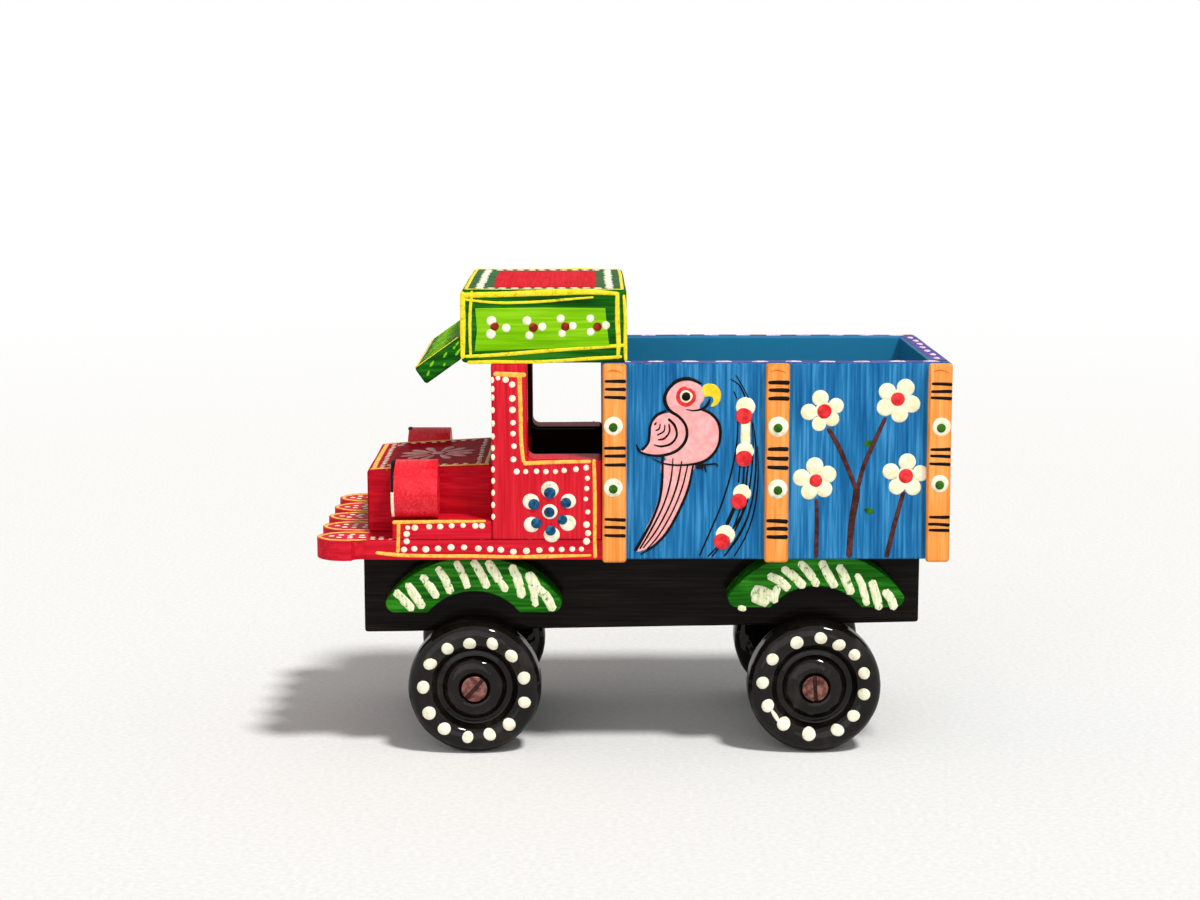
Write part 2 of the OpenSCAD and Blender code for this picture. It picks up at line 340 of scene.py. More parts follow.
# half of the wheel cut through its axle, in mm out from the axle and out from the wheel's inner face
turned_section = (
    [(1.83, 0.15), (2.0, 0.0)] + arc((14.6, 2.5), 2.5, -90, 0, 6)
    + arc((BEAD_MIDDLE, 7.2), BEAD_R, 0, 158, 18) + arc((9.35, 8.25), 0.72, -40, -150, 4)
    + arc((4.9, 6.75), 3.45, 15, 90, 8) + [(4.2, 10.15)]
    + arc((4.05, 9.7), 0.35, 60, 180, 3) + [(3.65, 9.3), (3.3, 9.2), (1.95, 9.2), (1.83, 9.1), (1.83, 0.15)])

lathe = Recipe("turned_wheel", Around="Int", Along="Int")
section = lathe.node("GeometryNodeMeshToCurve", {}, [lathe.given("Geometry")])
sheet = lathe.node("GeometryNodeMeshGrid", {}, {
    "Size X": 1.0, "Size Y": 1.0, "Vertices X": lathe.given("Around"), "Vertices Y": lathe.given("Along")})
spot = lathe.node("GeometryNodeInputPosition")
share = lathe.node("ShaderNodeSeparateXYZ", {}, [spot], "X") + 0.5
run = lathe.node("ShaderNodeSeparateXYZ", {}, [spot], "Y") + 0.5
on_section = lathe.node("GeometryNodeSampleCurve", {"mode": "FACTOR", "use_all_curves": True},
                        {"Curves": section, "Factor": run}, "Position")
height = lathe.node("ShaderNodeSeparateXYZ", {}, [on_section], "X")
reach = lathe.node("ShaderNodeSeparateXYZ", {}, [on_section], "Y")
turn = share * math.tau
ring = lathe.node("ShaderNodeCombineXYZ", {}, [height, reach * turn.math("COSINE", turn),
                                               reach * turn.math("SINE", turn)])
turned = lathe.node("GeometryNodeSetPosition", {}, {"Geometry": sheet, "Position": ring})
thick = lathe.node("GeometryNodeSetPosition", {}, {
    "Geometry": turned, "Offset": lathe.drift(210, lathe.given("Unevenness") * 1.6)})
lathe.finish(thick)

gloss_black = Finish("wheel_gloss_black", Coat_Weight=0.45, Coat_Roughness=0.06)
beads = gloss_black.grain(420, 3)
pimples = gloss_black.grain(1300, 2)
smears = gloss_black.grain(90, 2)
scuffs = gloss_black.grain(2600, 4)
wheel_paint = gloss_black.show(
    gloss_black.ramp(smears * 0.6 + beads * 0.4, (0.38, shade(9, 7, 6)), (0.55, shade(20, 16, 13)),
                     (0.68, shade(40, 35, 30))),
    0.2 + (scuffs - 0.5) * 0.3 + (smears - 0.45) * 0.35,
    beads * 0.9 + pimples * 0.45, 0.32)


def thick_paint(name, lumps, ridges, share, places, colours, gloss=0.36, depth=0.05, detail=2, shine=0.16,
                haze=0.12):
    """Enamel laid on thick: thinner and fuller places, with the bristles' ridges; share is the lumps' part."""
    coat = Finish(name, Coat_Weight=shine, Coat_Roughness=haze)
    fullness = coat.grain(lumps, 3)
    ridged = coat.grain(ridges, detail)
    tones = [(place, shade(*colour)) for place, colour in zip(places, colours)]
    return coat.show(coat.ramp(fullness * share + ridged * (1 - share), *tones),
                     gloss + (ridged - 0.5) * 0.25, ridged + fullness, depth)


cream_paint = thick_paint("cream_enamel", 520, 1500, 0.7, (0.3, 0.44, 0.6),
                          [(206, 198, 160), (240, 233, 205), (250, 245, 224)], gloss=0.33, shine=0.35, haze=0.1)

dab_recipe = Recipe("brush_dabs", Sides="Int", Rings="Int")
ball = dab_recipe.node("GeometryNodeMeshUVSphere", {}, {
    "Segments": dab_recipe.given("Sides"), "Rings": dab_recipe.given("Rings"), "Radius": 1.0})
turned_to = dab_recipe.node("FunctionNodeEulerToRotation", {}, [
    dab_recipe.node("GeometryNodeInputNamedAttribute", {"data_type": "FLOAT_VECTOR"}, {"Name": "turn"})])
spread = dab_recipe.node("GeometryNodeInputNamedAttribute", {"data_type": "FLOAT_VECTOR"}, {"Name": "spread"})
dab_recipe.finish(dab_recipe.node("GeometryNodeInstanceOnPoints", {}, {
    "Points": dab_recipe.given("Geometry"), "Instance": ball, "Rotation": turned_to, "Scale": spread}))


class Face:
    """A flat face to paint on, measured in mm across and up from a corner of a piece."""

    def __init__(self, corner, across, up, out):
        self.corner, self.across, self.up, self.out = (Vector(part) for part in (corner, across, up, out))

    def at(self, across, up, lift=0.0):
        return self.corner + (self.across * across + self.up * up + self.out * lift) * MM

    def raised(self, lift):
        """The same face lift mm further out, on top of paint that is already there."""
        return Face(self.at(0, 0, lift), self.across, self.up, self.out)


def flank(side, x, y, z):
    """The upright face on one side of a piece, 1 for left and -1 for right: mm back and mm up from a point."""
    return Face((side * x, y, z), (0, 1, 0), (0, 0, 1), (side, 0, 0))


class Hand(random.Random):
    """A painter's unsteady hand, the same on every run."""

    def off(self, much):
        return self.uniform(-much, much)


def dab_mesh(name, spots, paint, sides=16, rings=6, ragged=0.05, seed=1.0):
    """Dabs of paint. A spot is a face, mm across, mm up, a radius, and if need be a radius upwards,
    a turn in degrees and a height."""
    points = bpy.data.meshes.new(name)
    placed, turns, spreads = [], [], []
    for face, across, up, radius, *more in spots:
        tall, turn, height = more + [None] * (3 - len(more))
        tall = tall or radius
        height = height or min(0.25, 0.08 + 0.08 * min(radius, tall))
        spin = math.radians(turn or 0.0)
        long_way = face.across * math.cos(spin) + face.up * math.sin(spin)
        placed.append(uneven(face.at(across, up)))
        turns.append(Matrix((long_way, face.out.cross(long_way), face.out)).transposed().to_euler())
        spreads.append((radius * MM, tall * MM, height * MM))
    points.from_pydata(placed, [], [])
    for title, values in (("turn", turns), ("spread", spreads)):
        points.attributes.new(title, "FLOAT_VECTOR", "POINT").data.foreach_set(
            "vector", [part for value in values for part in value])
    return dab_recipe.made(name, points, Sides=sides, Rings=rings, Unevenness=ragged * MM, Seed=seed,
                           Paint=paint)


def dabbed(name, spots, paint, **brush):
    """Dabs of paint as one piece on the truck."""
    fitted(name, dab_mesh(name, spots, paint, **brush), "truck", None)


DOT_R = 1.7                                  # mm
# each wheel's dots: turns from the rear round over the top in degrees, distances from the axle in mm
ring_front = ([122, 95, 68, 42, 13, -15, -46, -72, -98, -127, -152, 177, 149],
              [12.5, 11.8, 12.7, 12.9, 13.1, 13.3, 12.8, 12.5, 12.7, 12.9, 13.1, 13.0, 13.0])
ring_rear = ([85, 63, 42, 18, -7, -36, -62, -97, -131, -160, 173, 145, 112],
             [13.3, 12.8, 13.2, 13.0, 12.5, 12.2, 12.4, 12.1, 12.2, 12.9, 13.6, 13.5, 13.0])
for wheel_name, ring_dots, seed in (("front_left", ring_front, 3), ("front_right", ring_rear, 8),
                                    ("rear_left", ring_rear, 13), ("rear_right", ring_front, 21)):
    node = wheel_name + "_wheel"
    low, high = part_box(node)
    side = 1 if low.x > 0 else -1
    axle_place = Vector((low.x if side > 0 else high.x, (low.y + high.y) / 2, (low.z + high.z) / 2))
    profile = bpy.data.meshes.new(node)
    profile.from_pydata([(depth * MM, radius * MM, 0.0) for radius, depth in turned_section],
                        [(index, index + 1) for index in range(len(turned_section) - 1)], [])
    mesh = lathe.made(node, profile, Around=169, Along=118, Unevenness=0.16 * MM, Seed=float(seed),
                      Paint=wheel_paint)
    mesh.transform(Matrix.Translation(axle_place) @ Matrix.Scale(side, 4, (1, 0, 0)))
    if side < 0:
        mesh.flip_normals()
    fitted(node + "_turned", mesh, node, "black_paint", node)

    hand = Hand(seed)
    face = flank(side, abs(axle_place.x) + WHEEL_W * MM, axle_place.y, axle_place.z)
    ring_spots = []
    for turn, ring_r in zip(*ring_dots):
        turn = math.radians(turn)
        ring_spots.append((face, ring_r * math.cos(turn), ring_r * math.sin(turn),
                           DOT_R + hand.uniform(-0.25, 0.1), DOT_R + hand.uniform(-0.25, 0.1),
                           hand.uniform(0, 90), 0.4))
    if wheel_name == "rear_left":              # the brush dragged between two of them
        turn = math.radians(-145.0)
        ring_spots.append((face, 12.4 * math.cos(turn), 12.4 * math.sin(turn), 2.2, 0.55, -58.0, 0.3))
    mesh = dab_mesh(node + "_dots", ring_spots, cream_paint, sides=22, rings=10, ragged=0.12, seed=seed)
    for vert in mesh.vertices:                 # the dots follow the round of the bead
        off = (Vector((vert.co.y - axle_place.y, vert.co.z - axle_place.z)).length / MM - BEAD_MIDDLE)
        vert.co.x -= side * (BEAD_R - math.sqrt(max(BEAD_R ** 2 - off ** 2, 0))) * MM
    fitted(node + "_dots", mesh, node, None)


# ---- Wheel screws ----------------------------------------------------------------------------
# Four slotted steel wood screws driven through the hubs into the axle blocks: the axles.
# Steel tinted a brownish pink, a painted reflection of red surroundings; each stopped with its slot at its own
# angle, and they don't turn.

steel = Finish("screw_plating", Metallic=0.85, Coat_Weight=0.1)
rubs = steel.grain(3500, 3, (1.0, 1.0, 0.12))
tarnish = steel.grain(700, 3)
# the brownish pink stands in for red surroundings reflected in the steel: painted reflection
pink_reflection = steel.ramp(tarnish, (0.34, shade(72, 42, 37)), (0.5, shade(116, 73, 67)), (0.66, shade(148, 103, 95)))
# painted shade darkens the slot, whose floor lies two thirds of a millimetre below the face of the head
low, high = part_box("front_left_wheel_screw")
outward = steel.along(0)
slot_shade = 1 - outward.math("ABSOLUTE", outward).step(high.x - 0.55 * MM, high.x - 0.25 * MM)
screw_steel = steel.show(steel.tint(slot_shade * 0.8, pink_reflection, shade(34, 22, 19)),
                         0.34 + (rubs - 0.5) * 0.35, rubs + tarnish, 0.03)

cut_screw = bmesh.new()
cut_screw.from_mesh(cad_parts["front_left_wheel_screw"].data)
bmesh.ops.remove_doubles(cut_screw, verts=cut_screw.verts, dist=0.005 * MM)
bmesh.ops.dissolve_limit(cut_screw, angle_limit=math.radians(0.5), verts=cut_screw.verts, edges=cut_screw.edges)
bmesh.ops.bevel(cut_screw, geom=[edge for edge in cut_screw.edges
                                 if edge.calc_face_angle() > math.radians(SHARP_CORNER)],
                offset=0.16 * MM, segments=2, profile=0.5, affect="EDGES", clamp_overlap=True)
bmesh.ops.triangulate(cut_screw, faces=[face for face in cut_screw.faces if len(face.verts) > 4])
bmesh.ops.translate(cut_screw, verts=cut_screw.verts,
                    vec=(-low.x, -(low.y + high.y) / 2, -(low.z + high.z) / 2))
screw_shape = bpy.data.meshes.new("screw_shape")
cut_screw.to_mesh(screw_shape)
cut_screw.free()
screw_model = bpy.data.objects.new("screw_shape", screw_shape)

driver = Recipe("driven_screws", Screw="Object")
shape = driver.node("GeometryNodeObjectInfo", {}, {"Object": driver.given("Screw")}, "Geometry")
slot_turn = driver.node("FunctionNodeEulerToRotation", {}, [
    driver.node("GeometryNodeInputNamedAttribute", {"data_type": "FLOAT_VECTOR"}, {"Name": "turn"})])
driver.finish(driver.node("GeometryNodeInstanceOnPoints", {}, {
    "Points": driver.given("Geometry"), "Instance": shape, "Rotation": slot_turn}))

# how far each slot is turned, in degrees
slot_turns = {"front_left": -42.0, "front_right": 25.0, "rear_left": 4.0, "rear_right": -70.0}
screw_points = bpy.data.meshes.new("screw_points")
starts, turns = [], []
for wheel_name, turn in slot_turns.items():
    low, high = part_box(wheel_name + "_wheel_screw")
    left = high.x > 0
    starts.append((low.x if left else high.x, (low.y + high.y) / 2, (low.z + high.z) / 2))
    turns += [math.radians(turn), 0.0, 0.0 if left else math.pi]
screw_points.from_pydata(starts, [], [])
screw_points.attributes.new("turn", "FLOAT_VECTOR", "POINT").data.foreach_set("vector", turns)
mesh = driver.made("wheel_screws", screw_points, Screw=screw_model, Unevenness=0.0, Seed=1.0,
                   Paint=screw_steel)
fitted("wheel_screws", even_faced(mesh), "truck", "screw_steel",
       *[wheel_name + "_wheel_screw" for wheel_name in slot_turns])
bpy.data.objects.remove(screw_model)


# ---- Mudguards -------------------------------------------------------------------------------
# Four arches bandsawn from softwood and glued to the sides of the chassis over the wheels.
# Leaf green, crossed by slanting strokes of cream laid on with a half-dry brush.

guard_green = enamel("mudguard_green", shade(12, 66, 6), shade(24, 100, 12), shade(50, 134, 28), bristles=1,
                     gloss=0.36, wear=0.25, depth=0.07)
for end in ("front", "rear"):
    for side_name in ("left", "right"):
        sawn(f"{end}_{side_name}_mudguard", "mudguard_green_paint", guard_green, rounding=0.9, cell=1.8)

stroke_recipe = Recipe("brush_strokes", Flatness="Float")
path = stroke_recipe.node("GeometryNodeMeshToCurve", {}, [stroke_recipe.given("Geometry")])
facing = stroke_recipe.node("GeometryNodeInputNamedAttribute", {"data_type": "FLOAT_VECTOR"},
                            {"Name": "facing"})
held = stroke_recipe.node("GeometryNodeSetCurveNormal", {"mode": "FREE"}, {"Curve": path, "Normal": facing})
half = stroke_recipe.node("GeometryNodeInputNamedAttribute", {"data_type": "FLOAT"}, {"Name": "half_width"})
tuft = stroke_recipe.node("GeometryNodeCurvePrimitiveCircle", {"mode": "RADIUS"},
                          {"Resolution": 10, "Radius": 1.0})
flat_tuft = stroke_recipe.node("GeometryNodeTransform", {}, {
    "Geometry": tuft, "Scale": stroke_recipe.node("ShaderNodeCombineXYZ", {}, [
        stroke_recipe.given("Flatness"), 1.0, 1.0])})
stroke_recipe.finish(stroke_recipe.node("GeometryNodeCurveToMesh", {}, {
    "Curve": held, "Profile Curve": flat_tuft, "Scale": half, "Fill Caps": True}))


def curved(points, spacing, closed=False):
    """Points of a smooth curve through the given ones, about spacing apart."""
    if len(points) == 2 and not closed:
        count = max(2, math.ceil(math.dist(points[0][:2], points[1][:2]) / spacing))
        return [tuple(a + (b - a) * step / count for a, b in zip(*points)) for step in range(count + 1)]
    ends = [points[-1]] + list(points) + [points[0], points[1]] if closed else (
        [points[0]] + list(points) + [points[-1]])
    result = []
    for before, start, stop, after in zip(ends, ends[1:], ends[2:], ends[3:]):
        count = max(1, math.ceil(math.dist(start[:2], stop[:2]) / spacing))
        for step in range(count):
            t = step / count
            result.append(tuple(0.5 * (2 * b + (c - a) * t + (2 * a - 5 * b + 4 * c - d) * t * t
                                       + (3 * b - a - 3 * c + d) * t ** 3)
                                for a, b, c, d in zip(before, start, stop, after)))
    return result if closed else result + [tuple(points[-1])]


def stroke_mesh(name, lines, paint, flatness=0.3, ragged=0.08, seed=1.0, tip=None):
    """Brush strokes. A line is a face, points (mm across, mm up) and a half width, or a list of them;
    each end is rounded off over tip mm."""
    places, edges, facings, widths = [], [], [], []
    for face, points, half in lines:
        halves = half if isinstance(half, (list, tuple)) else [half] * len(points)
        spacing = min(0.9, max(0.3, 0.8 * max(halves)))
        run = curved([(*point, wide) for point, wide in zip(points, halves)], spacing)
        lengths = [0.0]
        for here, there in zip(run, run[1:]):
            lengths.append(lengths[-1] + math.dist(here[:2], there[:2]))
        start = len(places)
        end_len = tip or max(halves) * 0.9
        for (across, up, wide), length in zip(run, lengths):
            near_end = min(1.0, min(length, lengths[-1] - length) / end_len)
            rounded_end = 0.22 + 0.78 * math.sqrt(1 - (1 - near_end) ** 2)
            places.append(uneven(face.at(across, up)))
            facings += list(face.out)
            widths.append(max(wide, 0.05) * rounded_end * MM)
        edges += [(index, index + 1) for index in range(start, len(places) - 1)]
    path_mesh = bpy.data.meshes.new(name)
    path_mesh.from_pydata(places, edges, [])
    path_mesh.attributes.new("facing", "FLOAT_VECTOR", "POINT").data.foreach_set("vector", facings)
    path_mesh.attributes.new("half_width", "FLOAT", "POINT").data.foreach_set("value", widths)
    return stroke_recipe.made(name, path_mesh, Flatness=flatness, Unevenness=ragged * MM, Seed=seed,
                              Paint=paint)


def stroked(name, lines, paint, **brush):
    """Brush strokes as one piece on the truck."""
    fitted(name, stroke_mesh(name, lines, paint, **brush), "truck", None)


dry_cream = Finish("dry_brushed_cream")
dry_hairs = dry_cream.grain(1700, 3, (1.0, 1.0, 0.25))
dry_gaps = dry_cream.grain(900, 4)
dry_brush = dry_cream.show(
    dry_cream.tint((dry_gaps * 0.75 + dry_hairs * 0.25).step(0.34, 0.45),
                   shade(92, 142, 62), dry_cream.ramp(dry_hairs, (0.35, shade(214, 218, 172)),
                                                      (0.6, shade(240, 240, 208)))),
    0.5 + (dry_gaps - 0.5) * 0.3, dry_hairs + dry_gaps, 0.07)

# strokes as (from, to, half width), in mm back from the axle and up from a line STROKE_FOOT below the top
guard_strokes = {
    "front": [((-20.2, 0.2), (-15.4, -5.0), 0.9), ((-17.2, 2.2), (-12.7, -4.5), 0.95),
              ((-13.4, 4.3), (-9.1, -1.8), 0.9), ((-9.6, 6.6), (-5.7, -0.7), 0.85),
              ((-4.6, 8.0), (-1.3, 0.6), 0.8), ((-0.4, 8.2), (3.5, 0.7), 0.9), ((3.5, 8.1), (6.7, 2.4), 1.0),
              ((6.2, 2.6), (8.4, -0.2), 0.8), ((9.5, 6.9), (12.4, -1.9), 1.0), ((13.5, 4.9), (16.2, 0.2), 1.15),
              ((16.0, 1.0), (20.4, -5.2), 1.0), ((14.3, 2.0), (15.7, -4.2), 0.8)],
    "rear": [((-19.9, -4.7), (-17.8, -4.9), 0.6), ((-16.6, -0.5), (-11.4, -2.4), 2.0),
             ((-9.6, 1.5), (-10.8, -3.2), 0.85), ((-12.5, 4.2), (-6.6, 0.2), 0.9),
             ((-8.9, 6.2), (-3.0, 0.9), 0.95), ((-4.6, 7.6), (0.4, 1.2), 0.9), ((1.0, 8.0), (4.9, 0.8), 0.95),
             ((5.5, 6.9), (9.0, -1.0), 0.95), ((10.2, 4.6), (12.9, -3.9), 0.8),
             ((13.9, 2.9), (16.2, -4.9), 0.95), ((17.1, 0.3), (20.1, -4.9), 0.95)]}
GUARD_R, STROKE_FOOT = 27.2, 8.6             # mm: outside of the arch, and how far the strokes reach down it
face_lines, top_lines = [], []
for end in ("front", "rear"):
    wheel_low, wheel_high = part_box(end + "_left_wheel")
    axle_y = (wheel_low.y + wheel_high.y) / 2
    for side_name, side in (("left", 1), ("right", -1)):
        low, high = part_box(f"{end}_{side_name}_mudguard")
        outer = high.x if side > 0 else -low.x
        face = flank(side, outer, axle_y, high.z - STROKE_FOOT * MM)
        hand = Hand(31 + side)
        for start, stop, half in guard_strokes[end]:
            bend = ((start[0] + stop[0]) / 2 + hand.off(0.4), (start[1] + stop[1]) / 2 + 0.4)
            face_lines.append((face, [start, bend, stop], [half * 1.05, half * 1.3, half * 1.15]))
        # the same brush went on over the top of the arch
        hand = Hand(57 + side)
        for start, _, half in guard_strokes[end]:
            if start[1] < 0:
                continue
            lean = math.asin((start[0] - 0.8) / GUARD_R)
            out = Vector((0, math.sin(lean), math.cos(lean)))
            edge = Vector((side * (outer - 0.4 * MM), axle_y, high.z - GUARD_R * MM)) + out * GUARD_R * MM
            top_lines.append((Face(edge, (-side, 0, 0), (0, math.cos(lean), -math.sin(lean)), out),
                              [(0.0, 0.0), (3.0, -0.5 + hand.off(0.3)), (6.8 + hand.off(1), -1.4)],
                              [half * 1.3, half * 1.2, half * 0.8]))
stroked("mudguard_strokes", face_lines, dry_brush, flatness=0.12, ragged=0.55, seed=4.0, tip=0.5)
stroked("mudguard_top_strokes", top_lines, dry_brush, flatness=0.14, ragged=0.5, seed=6.0, tip=0.5)


# ---- Base board ------------------------------------------------------------------------------
# A softwood board under the cab, its nose sawn into five scallops with a notch behind each outer one.
# Crimson, with a golden line along each side; every scallop is outlined and dotted in cream.

crimson = enamel("crimson", shade(186, 17, 35), shade(205, 23, 43), shade(222, 36, 54), bristles=1,
                 gloss=0.3, wear=0.35, depth=0.06)
sawn("base_board", "red_paint", crimson, rounding=0.6, cell=2.0)

golden = thick_paint("golden_enamel", 620, 1800, 0.6, (0.32, 0.46, 0.62),
                     [(214, 132, 44), (245, 186, 72), (255, 208, 104)])


def strayed(points, hand, much):
    """Points, or whole dabs, moved up to much mm each way by the hand."""
    return [(across + hand.off(much), up + hand.off(much), *rest) for across, up, *rest in points]


low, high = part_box("base_board")
cab_low, cab_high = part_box("left_cab_side")
LOBES, LOBE_R = 5, 7.75                      # how many scallops, and the radius of one in mm
lobe_y = low.y + LOBE_R * MM
lobe_pitch = ((high.x - low.x) / MM - 2 * LOBE_R) / (LOBES - 1)
# the golden line round a scallop and the dots inside it, in mm across and back from its middle
lobe_line = [(4.9, 5.4), (5.9, 1.5), (5.1, -3.2), (2.6, -6.1), (0.0, -6.9), (-2.6, -6.1), (-5.1, -3.2),
             (-5.9, 1.5), (-4.9, 5.4)]
lobe_dots = [(0, -4.3), (-1.9, -2.0), (1.9, -2.1), (-2.6, 0.9), (0.1, 0.4), (2.5, 0.8), (-1.4, 3.4), (1.5, 3.5)]
lines, spots, hand = [], [], Hand(11)
for index in range(LOBES):
    middle = (index - (LOBES - 1) / 2) * lobe_pitch
    face = Face((middle * MM, lobe_y, high.z), (1, 0, 0), (0, 1, 0), (0, 0, 1))
    lines.append((face, strayed(lobe_line, hand, 0.25), [0.35] + [0.5] * (len(lobe_line) - 2) + [0.35]))
    spots += [(face, *dot, 0.62, 0.8) for dot in strayed(lobe_dots, hand, 0.3)]
stroked("nose_outlines", lines, golden, flatness=0.28, ragged=0.12, seed=2.0)

# two short rows of dots on top of the board, beside the scallops and in front of each wing
for side in (1, -1):
    rim = Face((side * cab_high.x, lobe_y, high.z), (0, 1, 0), (-side, 0, 0), (0, 0, 1))
    for count, first, apart, inwards, long_r in ((5, 6.6, 2.3, 1.5, 0.75), (3, 4.2, 2.4, 4.1, 0.7)):
        spots += [(rim, *dot, long_r, 0.6)
                  for dot in strayed([(first + apart * index, inwards) for index in range(count)], hand, 0.2)]

# marks on the flush sides of board, wing and cab, in mm back from the pillar and up from the board's top
side_lines = [
    ([(-29.5, -3.2), (-23.6, -3.8), (-16.6, -4.0), (-4.6, -4.1), (5.4, -4.3), (13.4, -4.2), (25.2, -3.9)],
     [0.42, 0.5, 0.45, 0.48, 0.42, 0.5, 0.3]),
    ([(-25.2, 4.6), (-16.6, 4.7), (-9.6, 4.8), (-1.5, 4.9)], [0.5, 0.45, 0.42, 0.3]),
    ([(-23.6, 4.3), (-23.7, 1.0), (-23.9, -3.2)], [0.5, 0.45, 0.5])]
board_dots = [(22.7, -2.3, 0.65), (20.4, -2.3, 0.7), (17.7, -2.4, 0.7), (15.1, -2.4, 0.7),
              (12.0, -2.6, 0.75), (8.7, -2.8, 0.85), (5.4, -3.0, 0.8), (2.2, -2.5, 0.8), (-0.5, -2.3, 0.8),
              (-3.5, -2.1, 0.8), (-7.1, -1.8, 0.75), (-10.4, -1.8, 0.85), (-13.7, -2.1, 0.8),
              (-16.8, -2.3, 0.85), (-19.7, -2.2, 0.75), (-22.3, -2.4, 0.75), (-21.6, -0.3, 0.75)]
lines = []
for side in (1, -1):
    face = flank(side, cab_high.x, cab_low.y, high.z)
    lines += [(face, points, halves) for points, halves in side_lines]
    spots += [(face, across, up, radius * 1.08, radius) for across, up, radius in board_dots]
stroked("board_lines", lines, golden, flatness=0.28, ragged=0.12, seed=3.0)
dabbed("board_dots", spots, cream_paint, sides=12, rings=6, ragged=0.14, seed=5.0)


# ---- Hood ------------------------------------------------------------------------------------
# A block that narrows to the nose and falls forwards, with a black grille painted on its front.
# Its crimson top has a golden border, a row of cream dots inside it and one large pink flower.

hood_red = enamel("hood_red", shade(172, 14, 30), shade(192, 20, 38), shade(210, 32, 48), bristles=1,
                  gloss=0.3, wear=0.35, depth=0.07, shine=0.04)
sawn("hood", "red_paint", hood_red, rounding=0.6, cell=2.2)
low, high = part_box("hood")
PILLAR_LEN, HOOD_FRONT_H, HOOD_RISE, HOOD_TAPER = 9.0, 16.2, 2.0, 2.0        # mm; the taper is on each side
rise = math.atan2(HOOD_RISE, (high.y - low.y) / MM)
hood_len = (high.y - low.y) / MM - PILLAR_LEN
front_half, rear_half = high.x / MM - HOOD_TAPER, high.x / MM
top = Face((0, low.y, high.z - HOOD_RISE * MM), (1, 0, 0), (0, math.cos(rise), math.sin(rise)),
           (0, -math.sin(rise), math.cos(rise)))


def hood_half(back):
    """Half width of the hood some way back from the nose, in mm."""
    return front_half + (rear_half - front_half) * min(1.0, back / hood_len)


lines = [(top, [(-front_half + 0.6, 1.5), (0, 1.3), (front_half - 0.6, 1.6)], 0.62),
         (top, [(-rear_half + 0.8, hood_len - 1.6), (0, hood_len - 1.3), (rear_half - 0.8, hood_len - 1.7)],
          0.6)]
for side in (1, -1):
    lines.append((top, [(side * (hood_half(0.6) - 0.9), 0.6), (side * (hood_half(15) - 0.9), 15),
                        (side * (hood_half(hood_len) - 0.9), hood_len - 0.8)], 0.58))
stroked("hood_border", lines, golden, flatness=0.26, ragged=0.12, seed=8.0)

hand = Hand(19)
DOTS_ACROSS = 15                             # in each row across the hood
spots = []
for back in (3.6, hood_len - 3.7):
    wide = hood_half(back) - 3.2
    spots += [(top, -wide + 2 * wide * index / (DOTS_ACROSS - 1) + hand.off(0.25), back + hand.off(0.2),
               0.75, 0.7) for index in range(DOTS_ACROSS)]
for side in (1, -1):
    dots_back = [(side * (hood_half(back) - 3.0), back)
                 for back in (6.3, 9.0, 11.7, 14.4, 17.1, 19.8, 22.5, 25.2)]
    spots += [(top, *dot, 0.7, 0.8) for dot in strayed(dots_back, hand, 0.2)]
dabbed("hood_dots", spots, cream_paint, sides=12, rings=6, ragged=0.14, seed=9.0)

pink_paint = thick_paint("pink_enamel", 480, 1600, 1.0, (0.34, 0.48, 0.62),
                         [(240, 158, 158), (250, 180, 178), (255, 200, 196)], depth=0.045, shine=0.04)
PETALS, PETAL_LEN = 12, 9.8                  # of the one large flower; its petals are drawn out across the hood
flower_y = hood_len / 2 + 0.6
lines = []
for index in range(PETALS):
    turn = math.tau * (index + 0.5) / PETALS + hand.off(0.06)
    reach = (PETAL_LEN + hand.off(0.5)) * (1.25 - 0.25 * abs(math.sin(turn)))
    lines.append((top, [(math.cos(turn) * part * reach, flower_y + math.sin(turn) * part * reach)
                        for part in (0.24, 0.55, 0.82, 1.0)], [0.35, 0.95, 1.25, 0.6]))
stroked("hood_flower", lines, pink_paint, flatness=0.16, ragged=0.2, seed=10.0, tip=0.9)
dabbed("hood_flower_heart", [(top, 0.0, flower_y, 1.9), (top, -front_half + 5.2, 5.6, 1.5, 1.1),
                             (top, front_half - 5.2, 5.6, 1.5, 1.1)], pink_paint, ragged=0.2)

# The grille is the block's own sawn front, painted black and barred in cream.
# mm: how thick a coat of paint is, how deep it goes into the wood's unevenness, and its rounded edge
COAT_T, COAT_ROOT, COAT_EDGE = 0.12, 0.15, 0.1


def coated(name, shapes, paint):
    """Coats of paint with cut outlines, as one piece on the truck. A shape is a face, its outline in mm
    and whether that is a curve."""
    solid = bmesh.new()
    for face, outline, is_curve in shapes:
        points = curved(outline, 0.8, closed=True) if is_curve else list(outline)
        area = sum(a[0] * b[1] - b[0] * a[1] for a, b in zip(points, points[1:] + points[:1]))
        handed = face.across.cross(face.up).dot(face.out)
        if area * handed < 0:
            points.reverse()
        count = len(points)
        inner = []
        for index, (across, up) in enumerate(points):
            before, after = points[index - 1], points[(index + 1) % count]
            run = Vector((after[0] - before[0], after[1] - before[1])).normalized()
            inset = math.copysign(COAT_EDGE, handed)
            inner.append((across - run.y * inset, up + run.x * inset))
        rings = [[solid.verts.new(face.at(*point, lift)) for point in ring]
                 for ring, lift in ((points, -COAT_ROOT), (points, COAT_T * 0.45), (inner, COAT_T))]
        for below, above in zip(rings, rings[1:]):
            for index in range(count):
                after = (index + 1) % count
                solid.faces.new((below[index], below[after], above[after], above[index]))
        solid.faces.new(list(reversed(rings[0])))
        solid.faces.new(rings[-1])
    corners = [vert.co for vert in solid.verts]
    gridded(solid, [min(co[axis] for co in corners) for axis in range(3)],
            [max(co[axis] for co in corners) for axis in range(3)], 3.0)
    for vert in solid.verts:
        vert.co = uneven(vert.co)
    for face in solid.faces:
        face.smooth = True
    mesh = bpy.data.meshes.new(name)
    solid.to_mesh(mesh)
    solid.free()
    mesh.materials.append(paint)
    fitted(name, even_faced(mesh), "truck", None)


